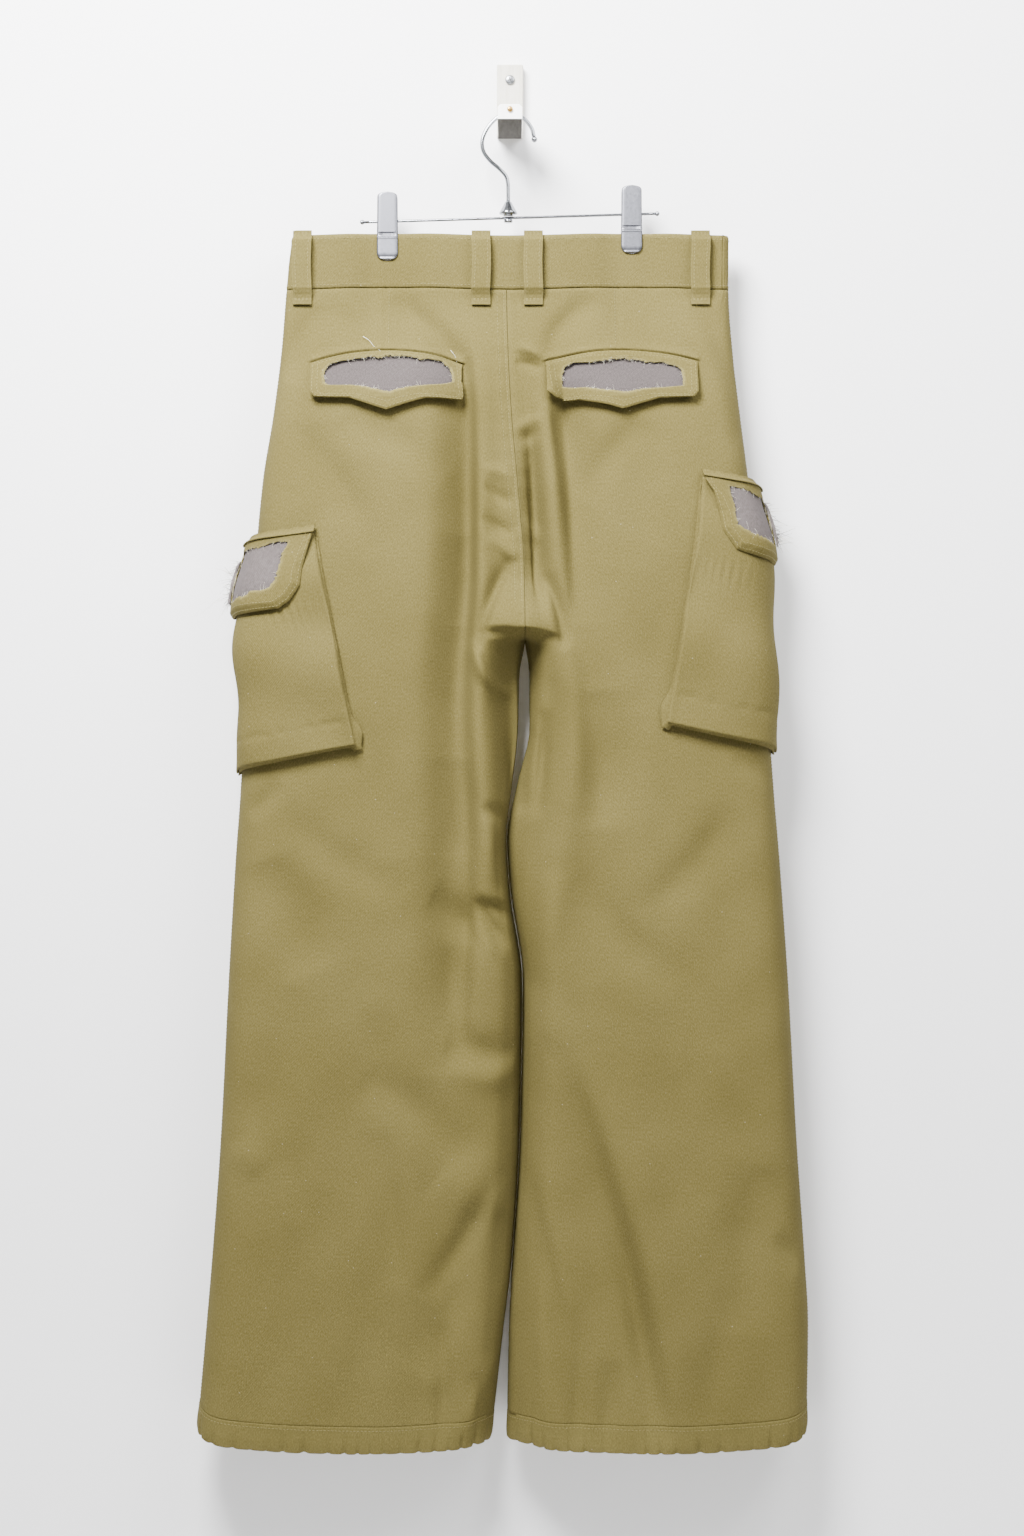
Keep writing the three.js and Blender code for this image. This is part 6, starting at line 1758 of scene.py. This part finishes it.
CROSS_TURN = 0.35
BLOCK_FACES = [[0, 1, 2, 3], [7, 6, 5, 4], [1, 0, 4, 5], [2, 1, 5, 6], [3, 2, 6, 7], [0, 3, 7, 4]]


def wall_hook_pieces():
    """The wooden plate and arm, a steel screw through the plate and a brass one in the arm's end."""
    half = PLATE["width"] / 2
    points, faces = block((-half, -PLATE["thickness"], -PLATE["height"] / 2), (half, 0, PLATE["height"] / 2))
    plate = new_piece("wall_plate_wood", points, faces, "painted_wood",
                      "cream_wood", ["wall_plate"],
                      smooth_faces=False)
    softened(plate, 1.2)
    w, h, c = ARM["width"] / 2, ARM["height"], ARM["chamfer"]
    outline = np.array([(-w, -h), (w, -h), (w, -c), (w - 0.73 * c, -0.27 * c), (w - c, 0), (c - w, 0),
                        (0.73 * c - w, -0.27 * c), (-w, -c)])
    start, end = PLATE["thickness"] + 0.35, ARM["end"]
    rings = [np.stack([outline[:, 0], np.full(8, -y), outline[:, 1] + ARM["top"]], -1) for y in (start, end)]
    faces = [[i, (i + 1) % 8, 8 + (i + 1) % 8, 8 + i] for i in range(8)]
    faces += [list(range(8))[::-1], list(range(8, 16))]
    arm = new_piece("wall_arm_wood", np.concatenate(rings), faces, "painted_wood", "white_wood",
                    ["wall_arm"], smooth_faces=False)
    # The underside face takes the darker greys: painted shade under the arm
    arm.data.materials.append(material("underside_shade_wood"))
    arm.data.polygons[0].material_index = 1
    softened(arm, 0.7)
    for name, radius, height, y, z, slot, finish in (
            ("plate_screw", PLATE["screw"], 2.3, -PLATE["thickness"] - 0.35, PLATE["screw_z"], "steel_screw",
             "screw_steel"),
            ("arm_screw", ARM["screw"], 2.0, -ARM["end"] - 0.35, ARM["screw_z"], "brass_screw",
             "turned_brass")):
        new_piece(f"{name}_head", *screw_head(radius, height, y, z), slot, finish, [name])
        top = y - height
        # Each arm of the cross is a thin dark slab on the head: painted shade in place of a hollow recess
        for letter, turn in (("a", CROSS_TURN), ("b", CROSS_TURN + math.pi / 2)):
            a, b = np.array([math.cos(turn), math.sin(turn)]), np.array([-math.sin(turn), math.cos(turn)])
            corners = ((-1, -1), (1, -1), (1, 1), (-1, 1))
            arms = [a * radius * 0.55 * i + b * radius * 0.1 * j for i, j in corners]
            front = [(p[0], top - 0.03, z + p[1]) for p in arms]
            back = [(p[0], top + 0.5, z + p[1]) for p in arms]
            new_piece(f"{name}_recess_{letter}", np.array(front + back), BLOCK_FACES, slot,
                      "recess_shade", smooth_faces=False)


def button_piece():
    """The waist button: a turned disc with a raised rim, on the lapped end facing the wall."""
    z0, x0 = -151.0, -8.0
    base = leg("left", on_front("left", x0, z0), z0, fine=False)[1] + BAND_CLOTH + 0.7
    profile = [(0, 0), (7.8, 0), (8.5, 0.6), (8.5, 2.2), (8.0, 2.9),
               (7.0, 3.0), (6.2, 2.6), (5.6, 2.1), (0, 2.0)]
    return new_piece("waist_button_turned", *lathe(profile, (x0, base, z0), (0, 1, 0), 40), "horn_button",
                     "horn_resin", ["waist_button"])


# Panel settings
class CargoPantsSettings(PropertyGroup):
    """Sizes and looks of the pants that a user would change."""
    weave_spacing: FloatProperty(name="Weave spacing", description="Distance between twill lines as drawn",
                                 default=0.0014, min=0.0004, max=0.005, precision=4, unit="LENGTH")
    stitch_length: FloatProperty(name="Stitch length", description="Length of one sewn stitch",
                                 default=2.3 * MM,
                                 min=1 * MM, max=5 * MM, precision=4, unit="LENGTH")
    fray_length: FloatProperty(name="Fray length", description="Longest frayed thread at a torn window",
                               default=6.5 * MM, min=0.5 * MM, max=20 * MM, precision=4, unit="LENGTH")


class StageSettings(PropertyGroup):
    """The room round the pants."""
    wall_colour: FloatVectorProperty(name="Wall colour", description="Paint of the wall behind the pants",
                                     subtype="COLOR", size=4, min=0, max=1, default=linear("#F0F0F1"))
    key_power: FloatProperty(name="Key light", description="Power of the large soft light above the front",
                             default=150.0, min=0, max=1000, unit="POWER")
    window_power: FloatProperty(name="Window light", description="Power of the weaker light from the right",
                                default=40.0, min=0, max=1000, unit="POWER")
    room_light: FloatProperty(name="Room light", description="Brightness of the light from all round",
                              default=0.42, min=0, max=10)


NARROWEST = 0.0101


def on_sheet(piece, size, area, held, rests_on, with_pieces=()):
    """Widens a cloth piece's flat cut to no less than 10 mm a side, and does nothing more with it.
    States a cloth piece's flat cut to the frame, which takes no strip under 10 mm wide.
    """
    size = tuple(max(NARROWEST, v) for v in size)


class AddBodyPanels(Operator):
    """Adds the back and front panels of both legs, and the fly placket"""
    bl_idname = "cargo_pants.add_panels"
    bl_label = "Body panels"

    def execute(self, context):
        for side in SIDES:
            for half in ("back", "front"):
                piece, flat, area = panel_piece(side, half)
                on_sheet(piece, flat, area, "hung", ["waistband_cloth"])
        piece, flat, area = fly_piece()
        on_sheet(piece, flat, area, "hung", ["front_panel_left"])
        return {"FINISHED"}


class AddWaistband(Operator):
    """Adds the waistband, its six belt loops and its button"""
    bl_idname = "cargo_pants.add_waistband"
    bl_label = "Waistband and loops"

    def execute(self, context):
        band, flat, area = waistband_piece()
        on_sheet(band, flat, area, "hung", ["clip_left_near", "clip_right_near"])
        for loop in LOOPS:
            piece, flat, area = loop_piece(*loop)
            on_sheet(piece, flat, area, "folded", ["waistband_cloth"])
        button_piece()
        return {"FINISHED"}


class AddHems(Operator):
    """Adds the gathered tunnel hems"""
    bl_idname = "cargo_pants.add_hems"
    bl_label = "Gathered hems"

    def execute(self, context):
        for side in SIDES:
            piece, flat, area = hem_piece(side)
            on_sheet(piece, flat, area, "gathered", [f"back_panel_{side}", f"front_panel_{side}"])
        return {"FINISHED"}


class AddBackFlaps(Operator):
    """Adds the back pocket flaps with their torn windows and linings"""
    bl_idname = "cargo_pants.add_back_flaps"
    bl_label = "Back pocket flaps"

    def execute(self, context):
        for side in SIDES:
            flap, size, area, lining, lflat, larea = back_flap_pieces(side)
            on_sheet(flap, size, area, "laid", [f"back_panel_{side}"])
            on_sheet(lining, lflat, larea, "laid", [f"back_panel_{side}"])
        return {"FINISHED"}


class AddCargoPockets(Operator):
    """Adds the bellows pockets at the side seams, with their flaps, bands, linings and torn edges"""
    bl_idname = "cargo_pants.add_cargo_pockets"
    bl_label = "Bellows pockets"

    def execute(self, context):
        for side in SIDES:
            face, gusset = cargo_pocket_pieces(side)
            on_sheet(*face, "laid", [f"back_panel_{side}"])
            on_sheet(*gusset, "folded", [f"back_panel_{side}"])
            for make in (cargo_flap, cargo_flap_lining, cargo_flap_band, cargo_torn_edge):
                on_sheet(*make(side), "laid", [f"cargo_pocket_{side}"])
        return {"FINISHED"}


class AddStitching(Operator):
    """Adds every row of stitches, the frayed threads at the torn windows and the loose threads"""
    bl_idname = "cargo_pants.add_stitching"
    bl_label = "Stitching and frayed threads"

    def execute(self, context):
        cloth = context.scene.cargo_pants
        length = cloth.stitch_length / MM
        for name, runs in (("seam_stitching", seam_stitches()), ("loop_stitching", loop_stitches()),
                           ("piece_stitching", SEWN)):
            stitches(name, runs, length)
        loose_threads()
        return {"FINISHED"}


class AddHanger(Operator):
    """Adds the wire hanger with its clips"""
    bl_idname = "cargo_pants.add_hanger"
    bl_label = "Clip hanger"

    def execute(self, context):
        hanger_pieces()
        clip_pieces()
        return {"FINISHED"}


class AddWallHook(Operator):
    """Adds the wooden wall hook with its screws"""
    bl_idname = "cargo_pants.add_wall_hook"
    bl_label = "Wall hook"

    def execute(self, context):
        wall_hook_pieces()
        return {"FINISHED"}


CAMERA_AT = (1.8, -2540.0, -608.0)
CAMERA_LENS = 65.1
WALL_GAP = 1.0
# The room, in metres
ROOM_HALF = 4
ROOM_TOP = 2.2
FLOOR = -1.75


class AddStage(Operator):
    """Adds the wall, floor, lights, world and camera"""
    bl_idname = "cargo_pants.add_stage"
    bl_label = "Stage"

    def plane(self, name, corners, paint):
        """A flat painted surface of the room."""
        mesh = bpy.data.meshes.new(name)
        mesh.from_pydata(corners, [], [(0, 1, 2, 3)])
        piece = bpy.data.objects.new(name, mesh)
        bpy.context.scene.collection.objects.link(piece)
        mesh.materials.append(paint)
        return piece

    def lamp(self, name, power, size, place, aim):
        """A round soft light at a place, turned to what it aims at."""
        data = bpy.data.lights.new(name, "AREA")
        data.energy, data.size, data.shape = power, size, "DISK"
        lamp = bpy.data.objects.new(name, data)
        bpy.context.scene.collection.objects.link(lamp)
        lamp.location = place
        way = np.array(aim, float) - np.array(place, float)
        lamp.rotation_euler = (math.acos(-way[2] / np.linalg.norm(way)),
                               0, math.atan2(way[1], way[0]) - math.pi / 2)

    def execute(self, context):
        stage = context.scene.cargo_stage
        paint = wall_paint("Matt white wall paint", stage.wall_colour, True)
        y, r = WALL_GAP * MM, ROOM_HALF
        wall = self.plane("wall", [(-r, y, FLOOR), (r, y, FLOOR), (r, y, ROOM_TOP), (-r, y, ROOM_TOP)], paint)
        wall.visible_shadow = False
        floor_paint = wall_paint("Pale floor", linear("#E4E3E1"), False)
        self.plane("floor", [(-r, -5, FLOOR), (r, -5, FLOOR), (r, r, FLOOR), (-r, r, FLOOR)], floor_paint)
        self.lamp("key", stage.key_power, 0.75, (-0.45, -1.08, 0.66), (0, 0, -0.4))
        self.lamp("window", stage.window_power, 1.1, (0.95, -1.1, 0.62), (0, 0, -0.45))
        self.lamp("behind", 70.0, 1.4, (0.5, 1.9, 0.9), (0, 0, -0.6))
        world = bpy.data.worlds.new("room")
        world.use_nodes = True
        background = world.node_tree.nodes["Background"]
        background.inputs["Color"].default_value = linear("#F4F5F7")
        background.inputs["Strength"].default_value = stage.room_light
        context.scene.world = world
        data = bpy.data.cameras.new("camera")
        data.sensor_width, data.lens = 36.0, CAMERA_LENS
        data.clip_start, data.clip_end = 0.05, 50
        camera = bpy.data.objects.new("camera", data)
        context.scene.collection.objects.link(camera)
        camera.location = [v * MM for v in CAMERA_AT]
        camera.rotation_euler = (math.pi / 2, 0, 0)
        context.scene.camera = camera
        return {"FINISHED"}


class CargoPantsPanel(Panel):
    """The sidebar panel that lists the settings and the pieces"""
    bl_idname = "VIEW3D_PT_cargo_pants"
    bl_label = "Cargo pants"
    bl_space_type = "VIEW_3D"
    bl_region_type = "UI"
    bl_category = "Cargo pants"

    def draw(self, context):
        for settings in (context.scene.cargo_pants, context.scene.cargo_stage):
            for key in settings.__annotations__:
                self.layout.prop(settings, key)
        for piece in PIECES:
            self.layout.operator(piece.bl_idname)


PIECES = (AddBodyPanels, AddWaistband, AddHems, AddBackFlaps,
          AddCargoPockets, AddStitching, AddHanger, AddWallHook,
          AddStage)
CLASSES = (CargoPantsSettings, StageSettings, *PIECES, CargoPantsPanel)


def register():
    """Registers the classes and gives every scene the two groups of settings."""
    for each in CLASSES:
        bpy.utils.register_class(each)
    bpy.types.Scene.cargo_pants = PointerProperty(type=CargoPantsSettings)
    bpy.types.Scene.cargo_stage = PointerProperty(type=StageSettings)


def unregister():
    """Takes back what register did."""
    del bpy.types.Scene.cargo_stage
    del bpy.types.Scene.cargo_pants
    for each in reversed(CLASSES):
        bpy.utils.unregister_class(each)


def main():
    """Registers the add-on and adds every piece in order."""
    register()
    for piece in PIECES:
        area, name = piece.bl_idname.split(".")
        getattr(getattr(bpy.ops, area), name)()


if __name__ == "__main__":
    main()
